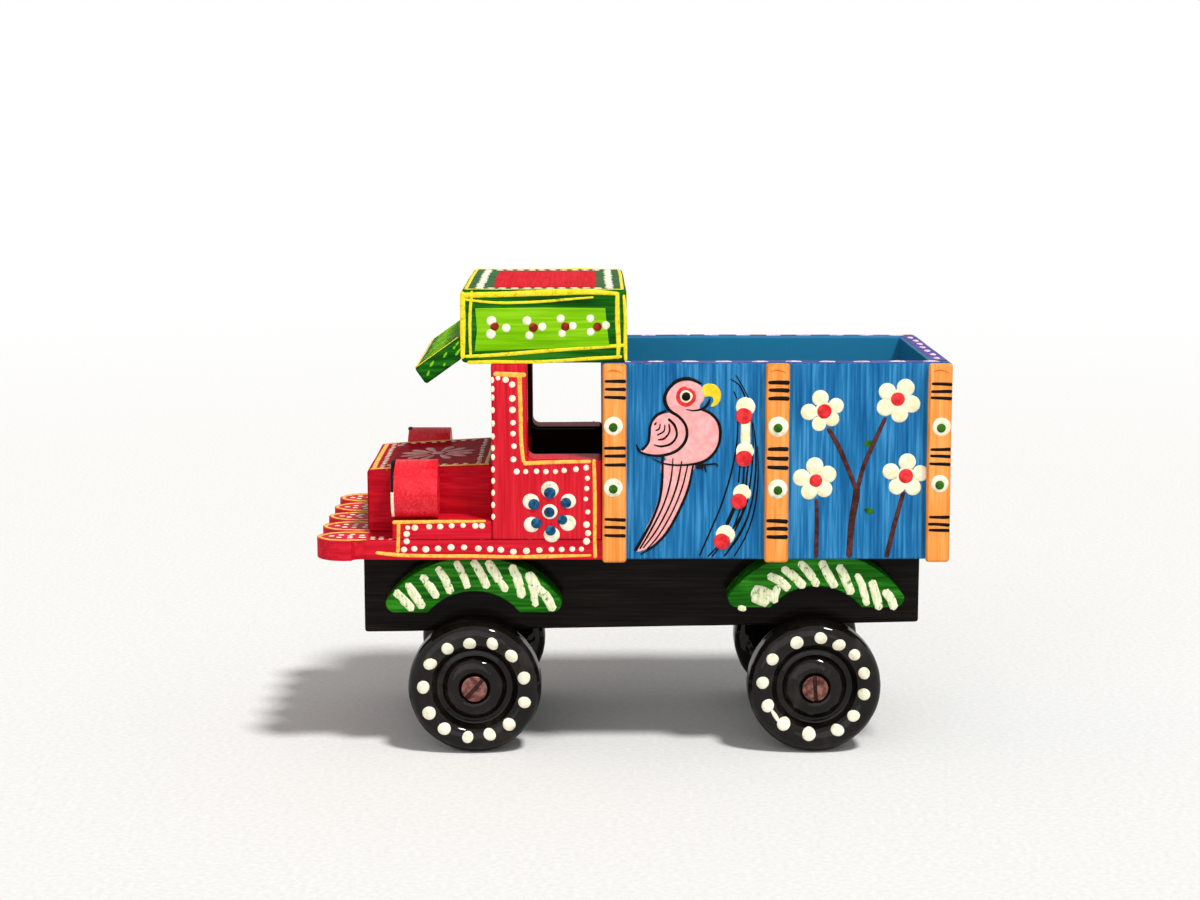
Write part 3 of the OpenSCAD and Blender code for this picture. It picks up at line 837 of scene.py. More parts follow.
def plain_paint(name, colours, lumps=600, gloss=0.34, places=(0.36, 0.62)):
    """Enamel laid on in one dab or stroke: slightly cloudy, with soft lumps."""
    coat = Finish(name, Coat_Weight=0.16, Coat_Roughness=0.12)
    cloudy = coat.grain(lumps, 3)
    tones = [(place, shade(*colour)) for place, colour in zip(places, colours)]
    return coat.show(coat.ramp(cloudy, *tones), gloss + (cloudy - 0.5) * 0.3, cloudy, 0.05)


ink_paint = plain_paint("black_line_enamel", [(8, 6, 6), (24, 18, 17)], 700, 0.36, (0.35, 0.62))

front = Face((0, low.y, low.z), (1, 0, 0), (0, 0, 1), (0, -1, 0))
coated("grille_black", [(front, [(-front_half + 0.7, 0.8), (-front_half + 0.6, HOOD_FRONT_H - 0.5),
                                 (front_half - 0.6, HOOD_FRONT_H - 0.6), (front_half - 0.7, 0.7)], False)],
       ink_paint)
lines = [(front.raised(COAT_T), [(across + hand.off(0.3), 2.6 + hand.off(0.3)), (across, 8.0),
                                 (across + hand.off(0.3), 13.4 + hand.off(0.4))], [0.5, 0.6, 0.44])
         for across in (-16.0, -12.0, -8.0, -4.0, 0.0, 4.0, 8.0, 12.0, 16.0)]
stroked("grille_bars", lines, cream_paint, flatness=0.3, ragged=0.12, seed=12.0)


# ---- Wings and headlamps ---------------------------------------------------------------------
# A flat strip glued beside the hood, and on it a short length of dowel laid along the truck.
# Both crimson; the sawn front of the dowel is ringed in black round a cream lamp.

for side_name in ("left", "right"):
    sawn(side_name + "_wing", "red_paint", crimson, rounding=0.6, cell=2.0)

lamp_red = enamel("lamp_red", shade(212, 26, 40), shade(228, 36, 50), shade(240, 54, 66), bristles=0,
                  gloss=0.28, wear=0.5, depth=0.06, shine=0.3)
shapes, lamp_spots, wing_spots, laps, lips = [], [], [], [], []
LAMP_R, LAMP_INSET = 7.5, 5.6                # mm; the inset is from the truck's side to the lamp's middle
wing_dots = [(-21.3, 3.2, 0.6), (-19.5, 3.2, 0.8), (-15.9, 3.5, 0.75), (-13.1, 3.5, 0.75), (-10.2, 3.7, 0.7),
             (-7.3, 3.8, 0.65), (-4.2, 3.7, 0.75), (-2.5, 3.7, 0.75), (-21.6, 1.6, 0.8)]
for side_name, side in (("left", 1), ("right", -1)):
    node = side_name + "_headlamp"
    sawn(node, "red_paint", lamp_red, rounding=0.45, cell=1.8)
    low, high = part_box(node)
    middle = Vector((side * (cab_high.x - LAMP_INSET * MM), low.y, high.z - LAMP_R * MM))
    disc = Face(middle, (1, 0, 0), (0, 0, 1), (0, -1, 0))
    # the black stops short of the rim, of the flat against the hood and of the wing below
    ring = [(LAMP_R * 0.9 * math.cos(turn * math.tau / 28), LAMP_R * 0.9 * math.sin(turn * math.tau / 28))
            for turn in range(28)]
    shapes.append((disc, [(max(across * side, -LAMP_R * 0.78) * side, up) for across, up in ring
                          if up > -LAMP_R + 1.0], False))
    lamp_spots.append((disc, 0.0, 0.1, 4.9, 4.7, 0, 0.5))
    # black ran over the front rim at the top, and cream lies on it lower down
    for turn in range(-54, 103, 6):
        out = Vector((side * math.cos(math.radians(turn)), 0, math.sin(math.radians(turn))))
        edge = Face(middle + out * LAMP_R * MM, (0, 1, 0), (-side * out.z, 0, side * out.x), out)
        if turn > 0:
            laps.append((edge, 0.3, 0.0, 0.3 + 0.0035 * turn, 0.9, 0, 0.13))
        else:
            lips.append((edge, 0.3, 0.0, 0.42, 0.75, 0, 0.13))
    face = flank(side, cab_high.x, cab_low.y, cab_low.z)
    wing_spots += [(face, across, up, radius * 1.08, radius) for across, up, radius in wing_dots]
coated("headlamp_rings", shapes, ink_paint)
dabbed("headlamp_laps", laps, ink_paint, sides=12, rings=6, ragged=0.14, seed=44.0)
dabbed("headlamp_lips", lips, cream_paint, sides=12, rings=6, ragged=0.14, seed=45.0)
dabbed("headlamp_faces", lamp_spots, cream_paint, sides=32, rings=12, ragged=0.1, seed=14.0)
dabbed("wing_dots", wing_spots, cream_paint, sides=12, rings=6, ragged=0.14, seed=15.0)


# ---- Cab sides -------------------------------------------------------------------------------
# Each side is one L of softwood, windscreen pillar and door in one, glued on the board.
# Crimson outside, near-black painted shade within; golden lines, rows of cream dots and a flower of cream and
# blue.

# the inner faces of the sides are near-black: painted shade inside the cab
cab_red = enamel("cab_red", shade(190, 20, 36), shade(210, 29, 45), shade(223, 42, 56), bristles=2,
                 gloss=0.3, wear=0.4, depth=0.06, inside=(0, 0.0262, shade(30, 8, 8)))
for side_name in ("left", "right"):
    sawn(side_name + "_cab_side", "red_paint", cab_red, rounding=0.6, cell=2.0)

low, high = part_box("left_cab_side")
# golden lines: mm back from the front of the pillar and up from the bottom of the door
cab_lines = [
    ([(0.7, 42.4), (4.6, 42.2), (8.8, 42.1)], [0.6, 0.65, 0.6]),
    ([(7.1, 42.5), (7.3, 34.0), (7.4, 27.0), (7.7, 22.6), (8.1, 19.7)], [0.6, 0.55, 0.52, 0.5, 0.45]),
    ([(7.9, 19.6), (15.4, 19.9), (25.2, 20.1)], [0.55, 0.5, 0.45]),
    ([(25.9, 20.7), (26.1, 9.0), (26.1, 0.0), (26.2, -4.6)], [0.45, 0.5, 0.48, 0.5])]
cab_dots = [(1.8, 41.3, 0.6), (3.7, 40.9, 0.8), (5.3, 39.7, 0.8), (5.3, 36.2, 0.85), (5.3, 33.3, 0.85),
            (5.4, 30.0, 0.7), (5.4, 27.2, 0.7), (5.6, 24.0, 0.7), (5.5, 20.6, 0.75), (6.3, 17.5, 0.75),
            (8.6, 17.5, 0.65), (11.3, 17.6, 0.7), (13.7, 17.5, 0.7), (16.1, 17.5, 0.65), (18.3, 17.8, 0.7),
            (21.3, 18.1, 0.75), (23.9, 18.5, 0.75), (24.2, 15.8, 0.65), (24.0, 13.2, 0.65), (23.8, 10.5, 0.6),
            (24.3, 7.2, 0.65), (24.0, 4.0, 0.85), (24.4, 1.8, 0.8), (24.0, -0.3, 0.9)]
# heights of the dots on the front edge of the pillar
pillar_dots = [40.8, 38.5, 36.4, 33.2, 29.8, 26.5, 23.5, 21.2, 18.0, 15.1, 12.1, 9.0, 6.0]
# petals of the flower about its middle, and the blue eye of each
petals = [(0.0, 5.6, 2.25, 0.0, 4.8, 1.5), (4.7, 2.7, 1.95, 4.1, 2.3, 1.35), (4.6, -2.9, 2.1, 3.2, -2.0, 1.3),
          (0.5, -5.9, 2.05, 0.2, -4.8, 1.35), (-4.6, -3.3, 2.05, -3.4, -2.9, 1.4),
          (-4.8, 2.6, 2.1, -4.0, 1.9, 1.45), (0.0, 0.0, 2.0, -0.1, -0.1, 1.35)]
eye_blue = plain_paint("dark_blue_enamel", [(14, 52, 84), (24, 78, 116), (52, 108, 146)], 640,
                       places=(0.36, 0.5, 0.64))
lines, spots, eyes = [], [], []
FLOWER = (14.7, 7.3)                         # mm: middle of the flower on the door
for side in (1, -1):
    face = flank(side, high.x, low.y, low.z)
    hand = Hand(70 + side)
    stray = 0.0 if side > 0 else 0.25
    lines += [(face, points, halves) for points, halves in cab_lines]
    spots += [(face, across, up, radius, radius) for across, up, radius in strayed(cab_dots, hand, stray)]
    spots += [(face, 0.35, up + hand.off(stray), 0.5, 0.8, 0, 0.3) for up in pillar_dots]
    for across, up, radius, eye_across, eye_up, eye_r in petals:
        spots.append((face, FLOWER[0] + across, FLOWER[1] + up, radius, radius * 0.97))
        eyes.append((face.raised(0.28), FLOWER[0] + eye_across, FLOWER[1] + eye_up, eye_r, eye_r * 0.97,
                     0, 0.24))
stroked("cab_lines", lines, golden, flatness=0.28, ragged=0.12, seed=16.0)
dabbed("cab_dots", spots, cream_paint, sides=18, rings=8, ragged=0.14, seed=17.0)
dabbed("cab_flower_eyes", eyes, eye_blue, sides=18, rings=8, ragged=0.12, seed=18.0)


# ---- Bed -------------------------------------------------------------------------------------
# An open box of five softwood boards: floor, two sides, the front that also backs the cab, and
# the tailboard. Blue outside, teal within, a lilac-dabbed rim, and a parrot and flowers by hand.

inside_teal = shade(42, 128, 168)
bed_blue = enamel("bed_blue", shade(16, 88, 142), shade(34, 114, 168), shade(66, 146, 200), bristles=2,
                  gloss=0.3, wear=0.3, depth=0.07, inside=(0, 0.0335, inside_teal))
for side_name in ("left", "right"):
    sawn(side_name + "_bed_side", "blue_paint", bed_blue, rounding=0.5, cell=2.2)
tail_blue = enamel("tail_blue", shade(16, 88, 142), shade(34, 114, 168), shade(66, 146, 200), bristles=2,
                   gloss=0.3, wear=0.3, depth=0.07, inside=(1, 0.0782, inside_teal))
sawn("tailboard", "blue_paint", tail_blue, rounding=0.5, cell=2.2)
# its face towards the cab is near-black: painted shade inside the cab
bed_teal = enamel("bed_teal", shade(30, 108, 146), inside_teal, shade(66, 152, 192), bristles=0, gloss=0.36,
                  wear=0.3, depth=0.07, inside=(1, -0.0069, shade(26, 9, 9)))
sawn("bed_front", "teal_paint", bed_teal, rounding=0.5, cell=2.2)
sawn("bed_floor", "teal_paint", bed_teal, rounding=0.4, cell=2.5)

purple = enamel("rim_purple", shade(54, 40, 112), shade(78, 62, 142), shade(112, 96, 168), bristles=1,
                gloss=0.34, wear=0.0, depth=0.05)
lilac_paint = plain_paint("lilac_enamel", [(214, 168, 196), (244, 224, 232)], 620, 0.36, (0.36, 0.6))

low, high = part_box("left_bed_side")
tail_low, tail_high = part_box("tailboard")
bed_l, side_x = (high.y - low.y) / MM, high.x / MM
top = Face((0, low.y, high.z), (1, 0, 0), (0, 1, 0), (0, 0, 1))
hand = Hand(61)
DAB_PITCH = 8.6                              # mm between the lilac dabs on the rim
shapes, spots = [], []
on_rim = top.raised(COAT_T)
for side in (1, -1):
    shapes.append((top, [(side * (side_x - 4.4), 0.7), (side * (side_x - 0.6), 0.6),
                         (side * (side_x - 0.55), bed_l - 0.6), (side * (side_x - 4.5), bed_l - 4.4)], False))
    for index in range(10):
        spots.append((on_rim, side * (side_x - 2.2 + hand.off(0.3)), 5.0 + index * DAB_PITCH + hand.off(0.5),
                      0.85, 2.2, hand.off(4), 0.26))
shapes.append((top, [(-side_x + 4.9, bed_l - 4.4), (side_x - 4.9, bed_l - 4.4),
                     (side_x - 4.9, bed_l - 0.6), (-side_x + 4.9, bed_l - 0.6)], False))
for index in range(7):
    spots.append((on_rim, (index - 3) * DAB_PITCH + hand.off(0.5), bed_l - 2.4 + hand.off(0.3), 2.2, 0.85,
                  hand.off(4), 0.26))
coated("rim_band", shapes, purple)
dabbed("rim_dabs", spots, lilac_paint, sides=18, rings=8, ragged=0.16, seed=30.0)

# The parrot, in mm back from the front end of the board and up from its bottom: pink shapes
# laid one over another, then every line in black with a fine brush.
parrot_tail = [(15.2, 25.0), (14.9, 19.0), (13.1, 12.5), (10.3, 6.5), (8.4, 2.2), (12.0, 3.2), (16.2, 7.2),
               (19.6, 13.2), (21.8, 19.8), (22.8, 25.0)]
parrot_body = [(16.7, 37.2), (15.8, 41.4), (17.7, 44.9), (21.3, 45.9), (24.6, 44.3), (25.6, 41.2), (24.4, 38.6),
               (27.7, 36.5), (29.4, 32.6), (28.5, 28.3), (25.3, 25.3), (20.8, 24.5), (16.5, 25.1), (14.9, 28.6),
               (15.3, 33.4)]
parrot_wing = [(16.9, 37.4), (13.4, 36.3), (12.0, 33.4), (11.8, 29.9), (9.4, 27.4), (13.6, 26.6), (18.0, 27.7),
               (20.6, 30.6), (20.8, 34.0), (19.4, 36.2)]
parrot_beak = [(25.0, 43.8), (26.3, 44.8), (28.3, 44.5), (29.6, 42.9), (29.6, 40.7), (28.4, 39.2), (27.1, 39.0),
               (27.8, 40.2), (27.6, 41.4), (26.4, 41.6), (25.5, 41.5)]
parrot_lines = [
    ([(25, 44.7), (21.9, 46), (18.8, 45.5), (16.4, 43.3), (15.6, 40.8), (16.7, 38.2), (19.3, 36.3),
      (21, 33.8), (20.9, 30.5), (18.6, 27.8), (14.9, 26.6), (11.6, 26.8), (9.4, 27.7), (8.4, 29.6)],
     [0.26, 0.47, 0.44, 0.43, 0.49, 0.44, 0.39, 0.39, 0.42, 0.42, 0.39, 0.34, 0.34, 0.1]),
    ([(16.1, 38), (13.6, 36.8), (12.1, 34.5), (11.8, 31.6), (11.4, 29.6), (9.8, 27.9)],
     [0.29, 0.39, 0.34, 0.36, 0.31, 0.39]),
    ([(27, 41.1), (26.5, 39.7), (25.2, 38.5), (23, 38), (20.9, 38.3)], [0.18, 0.34, 0.31, 0.22, 0.13]),
    ([(24.6, 38.4), (27.2, 37.2), (29.1, 34.9), (29.6, 31.8), (28.9, 28.6), (26.8, 25.9), (23.6, 24.5),
      (19, 24.1), (15.3, 24.6), (12.4, 25.9)],
     [0.26, 0.36, 0.39, 0.39, 0.35, 0.36, 0.31, 0.26, 0.21, 0.1]),
    ([(16.4, 36), (18.1, 34.2), (18.6, 31.6), (17.2, 29.6), (14.8, 28.9), (12.7, 29.4)],
     [0.4, 0.38, 0.34, 0.34, 0.34, 0.2]),
    ([(16.6, 34.8), (16.8, 32.7), (15.5, 30.9), (13.8, 30.6)], [0.24, 0.3, 0.31, 0.26]),
    ([(15.6, 34.6), (15.4, 32.8), (13.6, 31.7)], [0.23, 0.28, 0.28]),
    ([(14.5, 34.8), (14.2, 33.4), (13.2, 32.9)], [0.22, 0.28, 0.25]),
    ([(13.6, 35.2), (13, 34.2)], [0.22, 0.34]),
    ([(15.1, 26.4), (15, 20), (14.3, 15), (12.3, 9.6), (9.8, 5), (8.2, 2.2)],
     [0.31, 0.34, 0.34, 0.36, 0.42, 0.47]),
    ([(17.7, 26), (17.1, 20), (15.4, 14), (12.5, 8), (9.4, 2.7)], [0.13, 0.23, 0.23, 0.26, 0.21]),
    ([(19.9, 25.2), (18.8, 19.2), (16.9, 13.8), (13.7, 7.6), (10.3, 3)], [0.16, 0.26, 0.23, 0.23, 0.18]),
    ([(21.4, 24.2), (20, 18.2), (17.6, 12.2), (14.4, 6.5), (11.2, 2.6)], [0.18, 0.22, 0.21, 0.21, 0.16]),
    ([(22.8, 24.3), (21.6, 18.2), (19.4, 12.7), (16.4, 7.2), (13, 3.5), (9.5, 1.3)],
     [0.26, 0.34, 0.36, 0.34, 0.29, 0.16]),
    ([(22.6, 24.3), (25.8, 24.2), (28.5, 24.4), (28.9, 23.6)], [0.26, 0.21, 0.21, 0.16]),
    ([(23.4, 23.5), (25.4, 23.7)], 0.42),
    ([(25.6, 24), (26.1, 22.2)], [0.26, 0.16]),
    ([(24.6, 23.8), (25.2, 22.7)], [0.21, 0.13])]
grass = [
    ([(32, 46), (34.2, 44.5), (35.8, 41.5)], [0.12, 0.2, 0.24]),
    ([(33.4, 47), (34.9, 44.5), (36.7, 41)], 0.16),
    ([(32.9, 43), (33.8, 40.8)], 0.17),
    ([(34, 35.5), (33.7, 29), (32.4, 22), (30.2, 14.5), (27.4, 7.5), (24.5, 0.8)],
     [0.19, 0.22, 0.24, 0.24, 0.23, 0.24]),
    ([(34.6, 24), (34.3, 19.5)], 0.24),
    ([(33.3, 13.3), (31.4, 8.8)], 0.5),
    ([(35.7, 24), (35.4, 19.2)], 0.24),
    ([(34.8, 13), (32.4, 7), (26.6, 0.6)], [0.22, 0.19, 0.22]),
    ([(36.7, 24), (36.2, 19.5), (35.6, 13.5), (33.7, 9), (27.7, 0.6)], [0.24, 0.26, 0.2, 0.22, 0.22]),
    ([(37.8, 35), (38.6, 28), (38.4, 20), (37, 12), (34.4, 6), (30.8, 0.7)],
     [0.12, 0.24, 0.24, 0.26, 0.36, 0.24]),
    ([(37.5, 35.5), (37.9, 29), (37.4, 21), (36.2, 14), (33.4, 7.2)], [0.12, 0.19, 0.24, 0.29, 0.24]),
    ([(39, 29), (39.2, 21), (38.4, 13), (36.2, 6), (33.3, 0.7)], [0.14, 0.2, 0.22, 0.2, 0.18])]
berry_whites = [(35.9, 38.9, 2.5), (35.8, 27.6, 2.35), (35.2, 16.9, 2.35), (31.1, 6.3, 2.5)]
berry_reds = [(35.5, 36.6, 2.1), (35.6, 25.8, 2.1), (34.4, 14.9, 2.05), (30.2, 4.6, 2.1)]
# flowers: each red middle, then its petals
flowers = [
    ((55.7, 37.8, 1.85), (54.6, 41.1, 2.1), (58.6, 39.2, 2.0), (57.6, 35.9, 1.9), (54.4, 34.6, 1.85),
     (51.8, 37.6, 2.1)),
    ((74.1, 40.9, 1.75), (76.0, 43.7, 2.3), (77.6, 39.6, 2.2), (74.6, 37.1, 2.2), (71.0, 38.8, 2.2),
     (71.4, 42.8, 2.2)),
    ((53.8, 20.2, 1.65), (53.5, 23.9, 2.25), (56.8, 21.8, 2.2), (55.9, 18.0, 2.1), (52.1, 17.4, 2.1),
     (50.1, 20.9, 2.2)),
    ((76.5, 21.3, 1.85), (76.8, 24.9, 2.2), (80.2, 22.0, 2.1), (78.3, 18.4, 2.1), (74.3, 18.6, 2.1),
     (72.7, 22.5, 2.1))]
stems = [([(62.3, 0.4), (62.9, 9.0), (64.0, 16.0), (64.1, 19.0)], [0.8, 0.85, 0.95, 0.8]),
         ([(64.0, 18.0), (61.6, 24.0), (59.4, 29.0), (56.6, 33.7)], [0.6, 0.62, 0.66, 0.55]),
         ([(64.3, 18.0), (65.9, 24.0), (68.4, 30.0), (71.2, 36.4)], [0.6, 0.6, 0.6, 0.5]),
         ([(54.0, 0.4), (54.1, 9.0), (54.0, 15.6)], [0.6, 0.55, 0.5]),
         ([(71.8, 0.4), (73.8, 9.0), (76.0, 17.4)], [0.66, 0.64, 0.56])]
leaf_dabs = [(67.0, 29.7, 1.2, 0.8, 10), (67.3, 12.4, 1.3, 0.8, -15)]


parrot_pink = plain_paint("parrot_pink", [(245, 162, 160), (253, 184, 182)], gloss=0.4)
beak_yellow = plain_paint("beak_yellow", [(238, 200, 30), (255, 226, 66)])
berry_red = plain_paint("berry_red", [(206, 34, 40), (240, 62, 66)])
petal_white = plain_paint("petal_white", [(238, 230, 186), (254, 250, 220)])
stem_brown = plain_paint("stem_brown", [(58, 28, 24), (92, 52, 50)])
leaf_green = plain_paint("leaf_green", [(28, 78, 8), (56, 112, 24)])

EYE = (21.0, 41.6)                           # mm: middle of the parrot's eye
pink_shapes, beaks, eye_rings, eye_whites, pupils = [], [], [], [], []
fine_lines, whites, reds, greens, stem_lines, berry_strokes = [], [], [], [], [], []
for side in (1, -1):
    board = flank(side, high.x, low.y, low.z)
    hand = Hand(80 + side)
    stray = 0.0 if side > 0 else 0.35
    pink_shapes += [(board, parrot_tail, True), (board.raised(0.05), parrot_body, True),
                    (board.raised(0.1), parrot_wing, True)]
    beaks.append((board.raised(0.04), parrot_beak, True))
    fine_lines += [(board.raised(0.16), points, halves) for points, halves in parrot_lines]
    fine_lines += [(board, strayed(points, hand, stray), halves) for points, halves in grass]
    eye_rings.append((board.raised(0.12), *EYE, 2.72, 2.78, 0, 0.14))
    eye_whites.append((board.raised(0.2), *EYE, 1.65, 1.65, 0, 0.16))
    pupils.append((board.raised(0.3), *EYE, 1.12, 1.15, 0, 0.16))
    whites += [(board, *dab) for dab in strayed(berry_whites, hand, stray)]
    berry_strokes.append((board, [(36.0, 37.4), (35.9, 33.0), (36.0, 28.6)], [1.35, 1.25, 1.3]))
    reds += [(board.raised(0.2), across, up, radius, radius, 0, 0.24)
             for across, up, radius in strayed(berry_reds, hand, stray)]
    for middle, *petals in flowers:
        whites += [(board, *petal) for petal in strayed(petals, hand, stray)]
        whites.append((board, middle[0], middle[1], 2.4, 2.4, 0, 0.22))
        reds.append((board.raised(0.16), *middle, middle[2], 0, 0.26))
    stem_lines += [(board, strayed(points, hand, stray), halves) for points, halves in stems]
    greens += [(board, *dab) for dab in leaf_dabs]

# the tailboard: one bush of the same flowers, each stem from the root by its fork to the flower
board = Face((0, tail_high.y, tail_low.z), (1, 0, 0), (0, 0, 1), (0, 1, 0))
for root, fork, bloom in (((-1.0, 0.6), (-6.0, 14.0), (-18.0, 30.0)), ((0.0, 0.6), (-1.5, 18.0), (-6.5, 39.5)),
                          ((0.8, 0.6), (3.0, 16.0), (9.0, 33.0)), ((1.6, 0.6), (9.0, 12.0), (20.5, 20.5)),
                          ((-1.6, 0.6), (-11.0, 9.0), (-21.0, 15.5))):
    bend = ((fork[0] + bloom[0]) / 2 + 0.6, (fork[1] + bloom[1]) / 2 + 0.8)
    stem_lines.append((board, [root, fork, bend, bloom], [0.8, 0.7, 0.62, 0.5]))
    turn = hand.uniform(0, 72)
    for petal in range(5):
        spin = math.radians(turn + 72 * petal + hand.off(5))
        whites.append((board, bloom[0] + 3.4 * math.cos(spin), bloom[1] + 3.4 * math.sin(spin), 2.15))
    whites.append((board, *bloom, 2.4, 2.4, 0, 0.22))
    reds.append((board.raised(0.16), *bloom, 1.8, 1.8, 0, 0.26))
    greens += [(board, fork[0] + 2.4, fork[1] - 1.5, 1.5, 0.8, 35),
               (board, fork[0] - 2.2, fork[1] - 3.0, 1.4, 0.8, 145)]

coated("parrots", pink_shapes, parrot_pink)
coated("parrot_beaks", beaks, beak_yellow)
for name, dabs, paint, seed in (
        ("parrot_eye_rings", eye_rings, berry_red, 31.0), ("parrot_eye_whites", eye_whites, petal_white, 32.0),
        ("parrot_pupils", pupils, ink_paint, 33.0), ("bed_petals", whites, petal_white, 34.0),
        ("bed_berries", reds, berry_red, 35.0), ("bed_leaves", greens, leaf_green, 36.0)):
    dabbed(name, dabs, paint, sides=24, rings=8, ragged=0.16, seed=seed)
stroked("bed_stems", stem_lines, stem_brown, flatness=0.3, ragged=0.08, seed=37.0)
stroked("bed_fine_lines", fine_lines, ink_paint, flatness=0.4, ragged=0.08, seed=38.0)
stroked("berry_strokes", berry_strokes, petal_white, flatness=0.16, ragged=0.2, seed=39.0)


# ---- Posts -----------------------------------------------------------------------------------
# Three thin strips glued to each side of the bed, rounded at the top. Orange, banded in black,
# with two cream dots on each and a green one on every dot.

post_orange = enamel("post_orange", shade(234, 134, 54), shade(250, 156, 76), shade(255, 178, 100), bristles=2,
                     gloss=0.32, wear=0.35, depth=0.06)
# heights up the post in mm of the bands, the half width of a band, and the dots
bands = {"front": ([46.2, 44.2, 42.2, 29.3, 27.3, 25.0, 11.2, 9.2, 7.1], 0.38),
         "middle": ([45.8, 43.9, 41.7, 28.9, 26.7, 24.4, 10.8, 8.7, 6.7], 0.47),
         "rear": ([45.5, 43.5, 42.0, 28.8, 27.2, 25.2, 11.6, 9.8, 8.3], 0.37)}
post_dots = {"front": ((2.7, 34.9, 2.4), (2.7, 19.2, 2.4)), "middle": ((3.2, 34.6, 2.6), (3.2, 18.8, 2.5)),
             "rear": ((3.4, 34.6, 2.35), (3.2, 20.1, 2.25))}
band_lines, scribbles, dots, greens = [], [], [], []
for side_name, side in (("left", 1), ("right", -1)):
    for place in ("front", "middle", "rear"):
        node = f"{side_name}_{place}_post"
        sawn(node, "orange_paint", post_orange, rounding=0.75, cell=1.8)
        low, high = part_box(node)
        post = flank(side, high.x if side > 0 else -low.x, low.y, low.z)
        hand = Hand(90 + side + 7 * len(place))
        heights, half = bands[place]
        for up in heights:
            start, tilt = 0.3 + hand.uniform(0, 0.4), hand.uniform(-0.25, 0.1)
            band_lines.append((post, [(start, up), (3.0, up + tilt * 0.5 + hand.off(0.1)), (5.9, up + tilt)],
                               [half * 0.95, half * 1.1, half * 1.25]))
        dots += [(post, *dot) for dot in post_dots[place]]
        greens += [(post.raised(0.26), across + hand.uniform(-0.1, 0.15), up - 0.3, 1.12, 1.15, 0, 0.22)
                   for across, up, _ in post_dots[place]]
        scribbles.append((post, [(1.0, 48.4), (2.4, 48.9), (3.8, 48.7), (5.0, 48.1)], [0.1, 0.2, 0.22, 0.1]))
stroked("post_bands", band_lines, ink_paint, flatness=0.3, ragged=0.14, seed=40.0)
rust = plain_paint("rust_enamel", [(206, 104, 40), (226, 122, 52)])
stroked("post_scribbles", scribbles, rust, flatness=0.2, ragged=0.1, seed=41.0)
dabbed("post_dots", dots, cream_paint, sides=26, rings=8, ragged=0.16, seed=42.0)
dabbed("post_dot_greens", greens, leaf_green, sides=18, rings=8, ragged=0.12, seed=43.0)


# ---- Roof and sun visor ----------------------------------------------------------------------
# A solid block resting on the pillars and the front of the bed, and a thin board glued to its front.
# Dark green, lined in lemon by hand; lime panels with trefoils, and a red field on top.

roof_green = enamel("roof_green", shade(6, 58, 2), shade(14, 88, 10), shade(40, 118, 24), bristles=1,
                    gloss=0.3, wear=0.55, depth=0.07)
sawn("roof", "roof_green_paint", roof_green, rounding=0.9, cell=2.2)
sawn("sun_visor", "roof_green_paint", roof_green, rounding=0.7, cell=2.0)

lime = enamel("lime_enamel", shade(106, 172, 0), shade(124, 192, 4), shade(146, 208, 26), bristles=1,
              gloss=0.34, wear=0.0, depth=0.04)
lemon = thick_paint("lemon_enamel", 560, 1700, 0.5, (0.34, 0.44, 0.62),
                    [(176, 170, 24), (236, 216, 36), (250, 230, 62)], depth=0.055, detail=3)
brown_red = plain_paint("brown_red_enamel", [(116, 22, 6), (164, 48, 24)], 560, 0.35, (0.35, 0.62))
field_red = enamel("field_red", shade(196, 8, 24), shade(212, 15, 31), shade(224, 28, 44), bristles=0,
                   gloss=0.32, wear=0.0, depth=0.05, shine=0.05)

low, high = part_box("roof")
# mm back from the roof's front corner and up from its lower edge
panel = [(3.5, 13.7), (3.9, 8.2), (3.3, 3.0), (20.0, 3.6), (37.0, 4.3), (36.4, 9.0), (35.9, 13.8), (20.0, 13.9)]
roof_lines = [
    ([(0.3, 17.9), (0.4, 9.0), (0.3, 1.0)], [0.55, 0.62, 0.5]),
    ([(2.7, 18.1), (2.2, 12.0), (2.2, 5.0), (2.3, 1.5)], [0.3, 0.36, 0.32, 0.28]),
    ([(0.2, 16.9), (12.0, 17.3), (24.0, 17.7), (31.0, 17.9), (39.4, 17.4)], [0.6, 0.62, 0.7, 0.62, 0.4]),
    ([(0.7, 15.9), (6.0, 15.3), (12.0, 15.1), (20.0, 15.4), (27.0, 16.0), (33.0, 16.5)],
     [0.26, 0.28, 0.3, 0.3, 0.26, 0.2]),
    ([(38.9, 17.6), (39.0, 11.0), (39.3, 5.0), (39.1, 1.0)], [0.45, 0.55, 0.5, 0.35]),
    ([(40.5, 17.2), (41.0, 11.0), (41.0, 5.0), (41.1, 0.5)], [0.3, 0.4, 0.42, 0.38]),
    ([(0.8, 1.6), (12.0, 2.3), (24.0, 3.3), (33.0, 3.9), (40.8, 4.5)], [0.35, 0.42, 0.4, 0.4, 0.36]),
    ([(1.4, 0.1), (8.0, 0.3), (20.0, 0.35), (32.0, 1.1), (40.2, 1.6)], [0.4, 0.42, 0.36, 0.4, 0.36])]
# each trefoil: the brown dot, then its three cream ones
trefoils = [((8.3, 9.2, 1.1), (7.5, 10.6, 1.25), (7.4, 7.3, 1.25), (11.2, 8.8, 1.1)),
            ((18.0, 8.9, 1.15), (16.4, 10.6, 1.15), (17.0, 6.9, 1.05), (20.2, 9.1, 1.05)),
            ((26.0, 9.1, 1.1), (24.8, 11.1, 1.05), (25.2, 7.4, 1.0), (27.8, 9.3, 1.0)),
            ((34.0, 9.1, 1.1), (32.2, 11.2, 1.0), (32.3, 7.8, 1.0), (36.1, 9.5, 1.05))]
shapes, lines, spots, hearts = [], [], [], []
for side in (1, -1):
    face = flank(side, high.x, low.y, low.z)
    shapes.append((face, panel, False))
    lines += [(face, points, [1.18 * half for half in halves]) for points, halves in roof_lines]
    on_panel = face.raised(COAT_T)
    for heart, *leaves in trefoils:
        hearts.append((on_panel, *heart, heart[2], 0, 0.32))
        spots += [(on_panel, *leaf) for leaf in leaves]
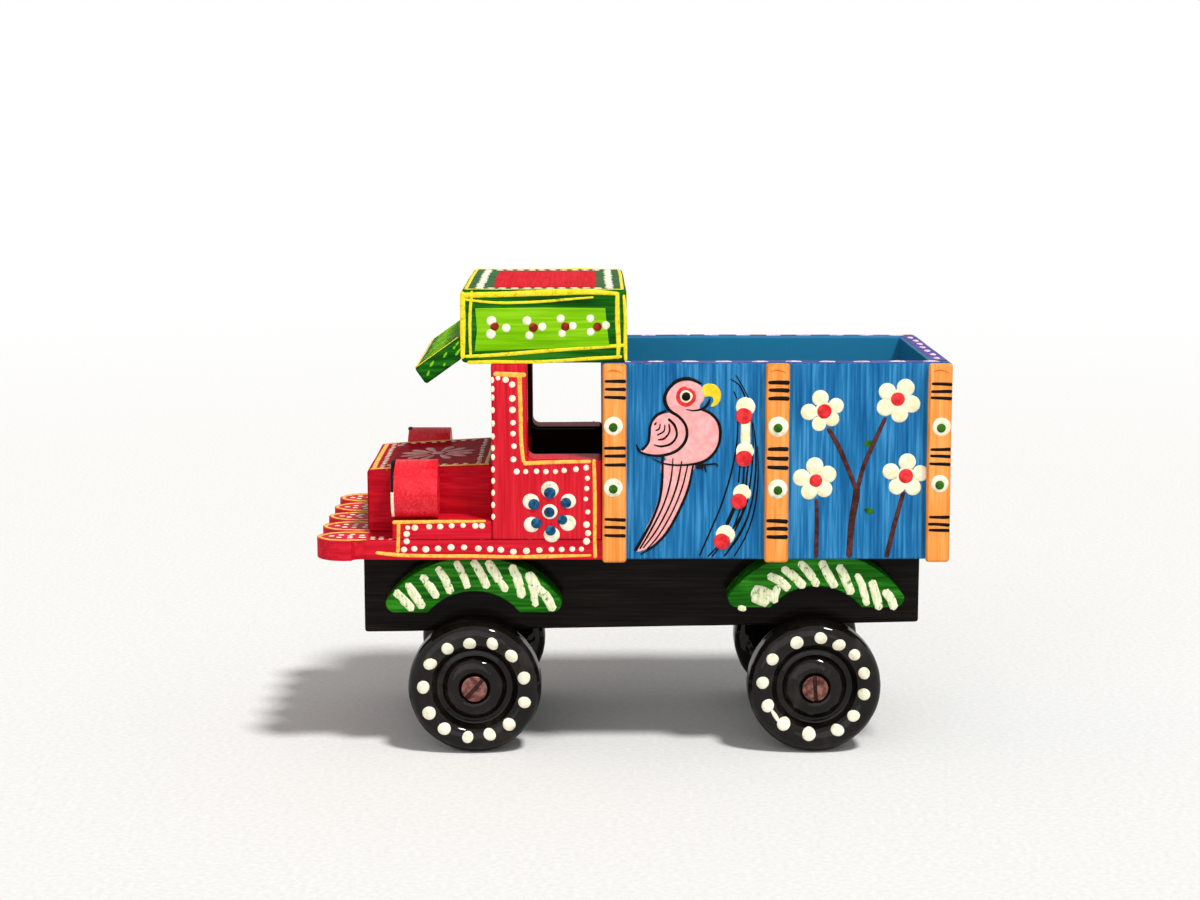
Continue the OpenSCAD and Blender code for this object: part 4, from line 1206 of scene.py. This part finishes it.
# front above the visor and back above the bed
half_w = high.x / MM
back = Face((0, high.y, low.z), (1, 0, 0), (0, 0, 1), (0, 1, 0))
shapes.append((back, [(-half_w + 3.5, 13.8), (-half_w + 3.6, 3.4), (half_w - 3.4, 3.2),
                      (half_w - 3.6, 13.9)], False))
lines += [(back, [(-half_w + 0.6, 17.2), (0, 17.5), (half_w - 0.6, 17.3)], 0.55),
          (back, [(-half_w + 0.6, 1.2), (0, 0.9), (half_w - 0.6, 1.3)], 0.45),
          (back, [(-half_w + 1.8, 15.5), (0, 15.2), (half_w - 1.8, 15.6)], 0.3),
          (back, [(-half_w + 0.6, 17.6), (-half_w + 0.8, 0.8)], 0.5),
          (back, [(half_w - 0.6, 17.6), (half_w - 0.8, 0.8)], 0.5)]
on_panel = back.raised(COAT_T)
hand = Hand(44)
for middle in (-24.0, -12.0, 0.0, 12.0, 24.0):
    hearts.append((on_panel, middle, 8.6, 1.1, 1.1, 0, 0.32))
    spots += [(on_panel, middle + across + hand.off(0.2), 8.6 + up + hand.off(0.2), 1.1)
              for across, up in ((-1.9, 1.5), (-1.9, -1.6), (2.2, 0.1))]
brow = Face((0, low.y, low.z), (1, 0, 0), (0, 0, 1), (0, -1, 0))
lines += [(brow, [(-half_w + 0.6, 17.2), (0, 17.6), (half_w - 0.6, 17.2)], 0.55),
          (brow, [(-half_w + 1.0, 9.2), (0, 9.0), (half_w - 1.0, 9.3)], 0.4)]
spots += [(brow, -half_w + 4.0 + 3.1 * index + hand.off(0.2), 13.2 + hand.off(0.2), 0.85)
          for index in range(21)]
coated("roof_panels", shapes, lime)

# the top: a red field in a green border with a row of cream dabs
above = Face((0, (low.y + high.y) / 2, high.z), (1, 0, 0), (0, 1, 0), (0, 0, 1))
half_l = (high.y - low.y) / MM / 2
field = [(-half_w + 7.6, -half_l + 7.7), (0, -half_l + 7.3), (half_w - 7.4, -half_l + 7.9),
         (half_w - 7.8, half_l - 7.6), (0, half_l - 7.3), (-half_w + 7.5, half_l - 7.8)]
coated("roof_field", [(above, field, False)], field_red)
lines += [(above, [(-half_w + 1.0, side * (half_l - 1.0)), (0, side * (half_l - 0.9)),
                   (half_w - 1.0, side * (half_l - 1.1))], 0.45) for side in (1, -1)]
lines += [(above, [(side * (half_w - 1.0), -half_l + 1.0), (side * (half_w - 0.9), 0),
                   (side * (half_w - 1.1), half_l - 1.0)], 0.45) for side in (1, -1)]
DAB_INSET, DAB_GAP, DAB_R = 4.3, 3.0, 1.15   # mm
wide, long = half_w - DAB_INSET, half_l - DAB_INSET
count_w, count_l = round(2 * wide / DAB_GAP), round(2 * long / DAB_GAP)
for side in (1, -1):
    across_row = [(-wide + 2 * wide * index / count_w, side * long) for index in range(count_w + 1)]
    back_row = [(side * wide, -long + 2 * long * index / count_l) for index in range(1, count_l)]
    spots += [(above, *dot, DAB_R) for dot in strayed(across_row + back_row, hand, 0.2)]
stroked("roof_lines", lines, lemon, flatness=0.26, ragged=0.14, seed=20.0)
dabbed("roof_dots", spots, cream_paint, sides=14, rings=6, ragged=0.13, seed=22.0)
dabbed("roof_dot_hearts", hearts, brown_red, sides=16, rings=8, ragged=0.1, seed=23.0)

# the visor: quick lime strokes down its slope and on its ends, and a lemon line along its lip
low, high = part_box("sun_visor")
slope = math.radians(35.5)                   # how far the board tips down
down = Face((0, high.y, high.z), (1, 0, 0), (0, -math.cos(slope), -math.sin(slope)),
            (0, -math.sin(slope), math.cos(slope)))
VISOR_LEN, VISOR_STROKES = 14.6, 17          # mm down the slope, and how many strokes cross it
hand = Hand(52)
lines = []
for index in range(VISOR_STROKES):
    across = -half_w + 2.4 + index * (2 * half_w - 4.8) / (VISOR_STROKES - 1)
    lines.append((down, [(across + hand.off(0.5), 2.0 + hand.uniform(-0.5, 0.8)), (across + hand.off(0.5), 7.5),
                         (across + 0.5, 12.4 + hand.uniform(-0.8, 0.5))], [0.35, 0.8, 0.45]))
for side in (1, -1):
    end = Face((side * high.x, high.y, high.z), (0, -math.cos(slope), -math.sin(slope)),
               (0, math.sin(slope), -math.cos(slope)), (side, 0, 0))
    for run, deep, length in ((1.4, 1.0, 2.6), (2.2, 2.6, 2.0), (5.4, 1.3, 1.6), (7.0, 3.0, 1.4),
                              (9.4, 1.2, 1.7), (11.8, 2.6, 1.2)):
        lines.append((end, [(run, deep), (run + length, deep + 0.7)], [0.25, 0.4]))
stroked("visor_strokes", lines, lime, flatness=0.16, ragged=0.3, seed=24.0, tip=0.8)
lines = [(down, [(-half_w + 0.5, VISOR_LEN - 0.6), (0, VISOR_LEN - 0.7), (half_w - 0.5, VISOR_LEN - 0.6)],
          0.45)]
lines += [(down, [(side * (half_w - 0.5), 0.9), (side * (half_w - 0.45), VISOR_LEN - 0.7)], 0.38)
          for side in (1, -1)]
stroked("visor_lines", lines, lemon, flatness=0.26, ragged=0.14, seed=25.0)


# ---- Floor, light and camera -----------------------------------------------------------------
# A plain pale floor under two soft suns: one high behind the truck's left shoulder, a fainter one
# low beside the camera, which stands level with the truck's left side and looks slightly down.

floor_paper = Finish("floor_paper")
fibres = floor_paper.grain(700, 3)
floor_paper.show(floor_paper.ramp(fibres, (0.3, shade(226, 225, 222)), (0.7, shade(236, 235, 232))),
                 0.85 + (fibres - 0.5) * 0.1, fibres, 0.02)
# far from the truck the paper runs out into the white of the room
glow = floor_paper.node("ShaderNodeEmission", {}, {"Color": (1.0, 1.0, 1.0, 1.0), "Strength": 1.0})
out_x, out_y = floor_paper.along(0), floor_paper.along(1)
away = out_x * out_x + out_y * out_y
away = away.math("SQRT", away).step(0.42, 1.25)
looked_at = floor_paper.node("ShaderNodeLightPath", output="Is Camera Ray")
blend = floor_paper.node("ShaderNodeMixShader", {}, [
    away * looked_at, Level(floor_paper, floor_paper.shader.outputs["BSDF"]), glow])
floor_paper.feed(floor_paper.tree.nodes["Material Output"].inputs["Surface"], blend)
floor_mesh = bpy.data.meshes.new("floor")
floor_mesh.from_pydata([(-3, -3, 0), (3, -3, 0), (3, 3, 0), (-3, 3, 0)], [], [(0, 1, 2, 3)])
floor_mesh.materials.append(floor_paper.material)
floor = bpy.data.objects.new("floor", floor_mesh)
bpy.context.scene.collection.objects.link(floor)

room = bpy.data.worlds.new("studio")
room.use_nodes = True
studio = Wiring(room.node_tree)
seen = studio.node("ShaderNodeLightPath", output="Is Camera Ray")
for kind in ("Is Glossy Ray", "Is Transmission Ray"):
    seen = seen.math("MAXIMUM", seen, studio.node("ShaderNodeLightPath", output=kind))
sky = room.node_tree.nodes["Background"]
studio.feed(sky.inputs["Strength"], seen * 0.62 + 0.38)
sky.inputs["Color"].default_value = (1.0, 1.0, 1.0, 1.0)
bpy.context.scene.world = room


def soft_sun(name, travel, strength, breadth):
    """A sun of some breadth in degrees whose light runs along travel."""
    lamp = bpy.data.lights.new(name, "SUN")
    lamp.energy, lamp.angle = strength, math.radians(breadth)
    holder = bpy.data.objects.new(name, lamp)
    holder.rotation_euler = Vector(travel).normalized().to_track_quat("-Z", "Y").to_euler()
    bpy.context.scene.collection.objects.link(holder)


soft_sun("key_sun", (-1.0, -0.85, -2.4), 2.67, 9)
soft_sun("fill_sun", (-1.0, 0.25, -0.35), 0.8, 60)

eye = bpy.data.objects.new("camera", bpy.data.cameras.new("camera"))
eye.data.lens, eye.data.sensor_width = 73.6, 36.0
eye.location = (0.6462, -0.0117, 0.1692)
eye.rotation_euler = (math.radians(81.6), 0.0, math.radians(89.66))
bpy.context.scene.collection.objects.link(eye)
bpy.context.scene.camera = eye
bpy.context.scene.view_settings.view_transform = "Standard"

bpy.context.view_layer.update()
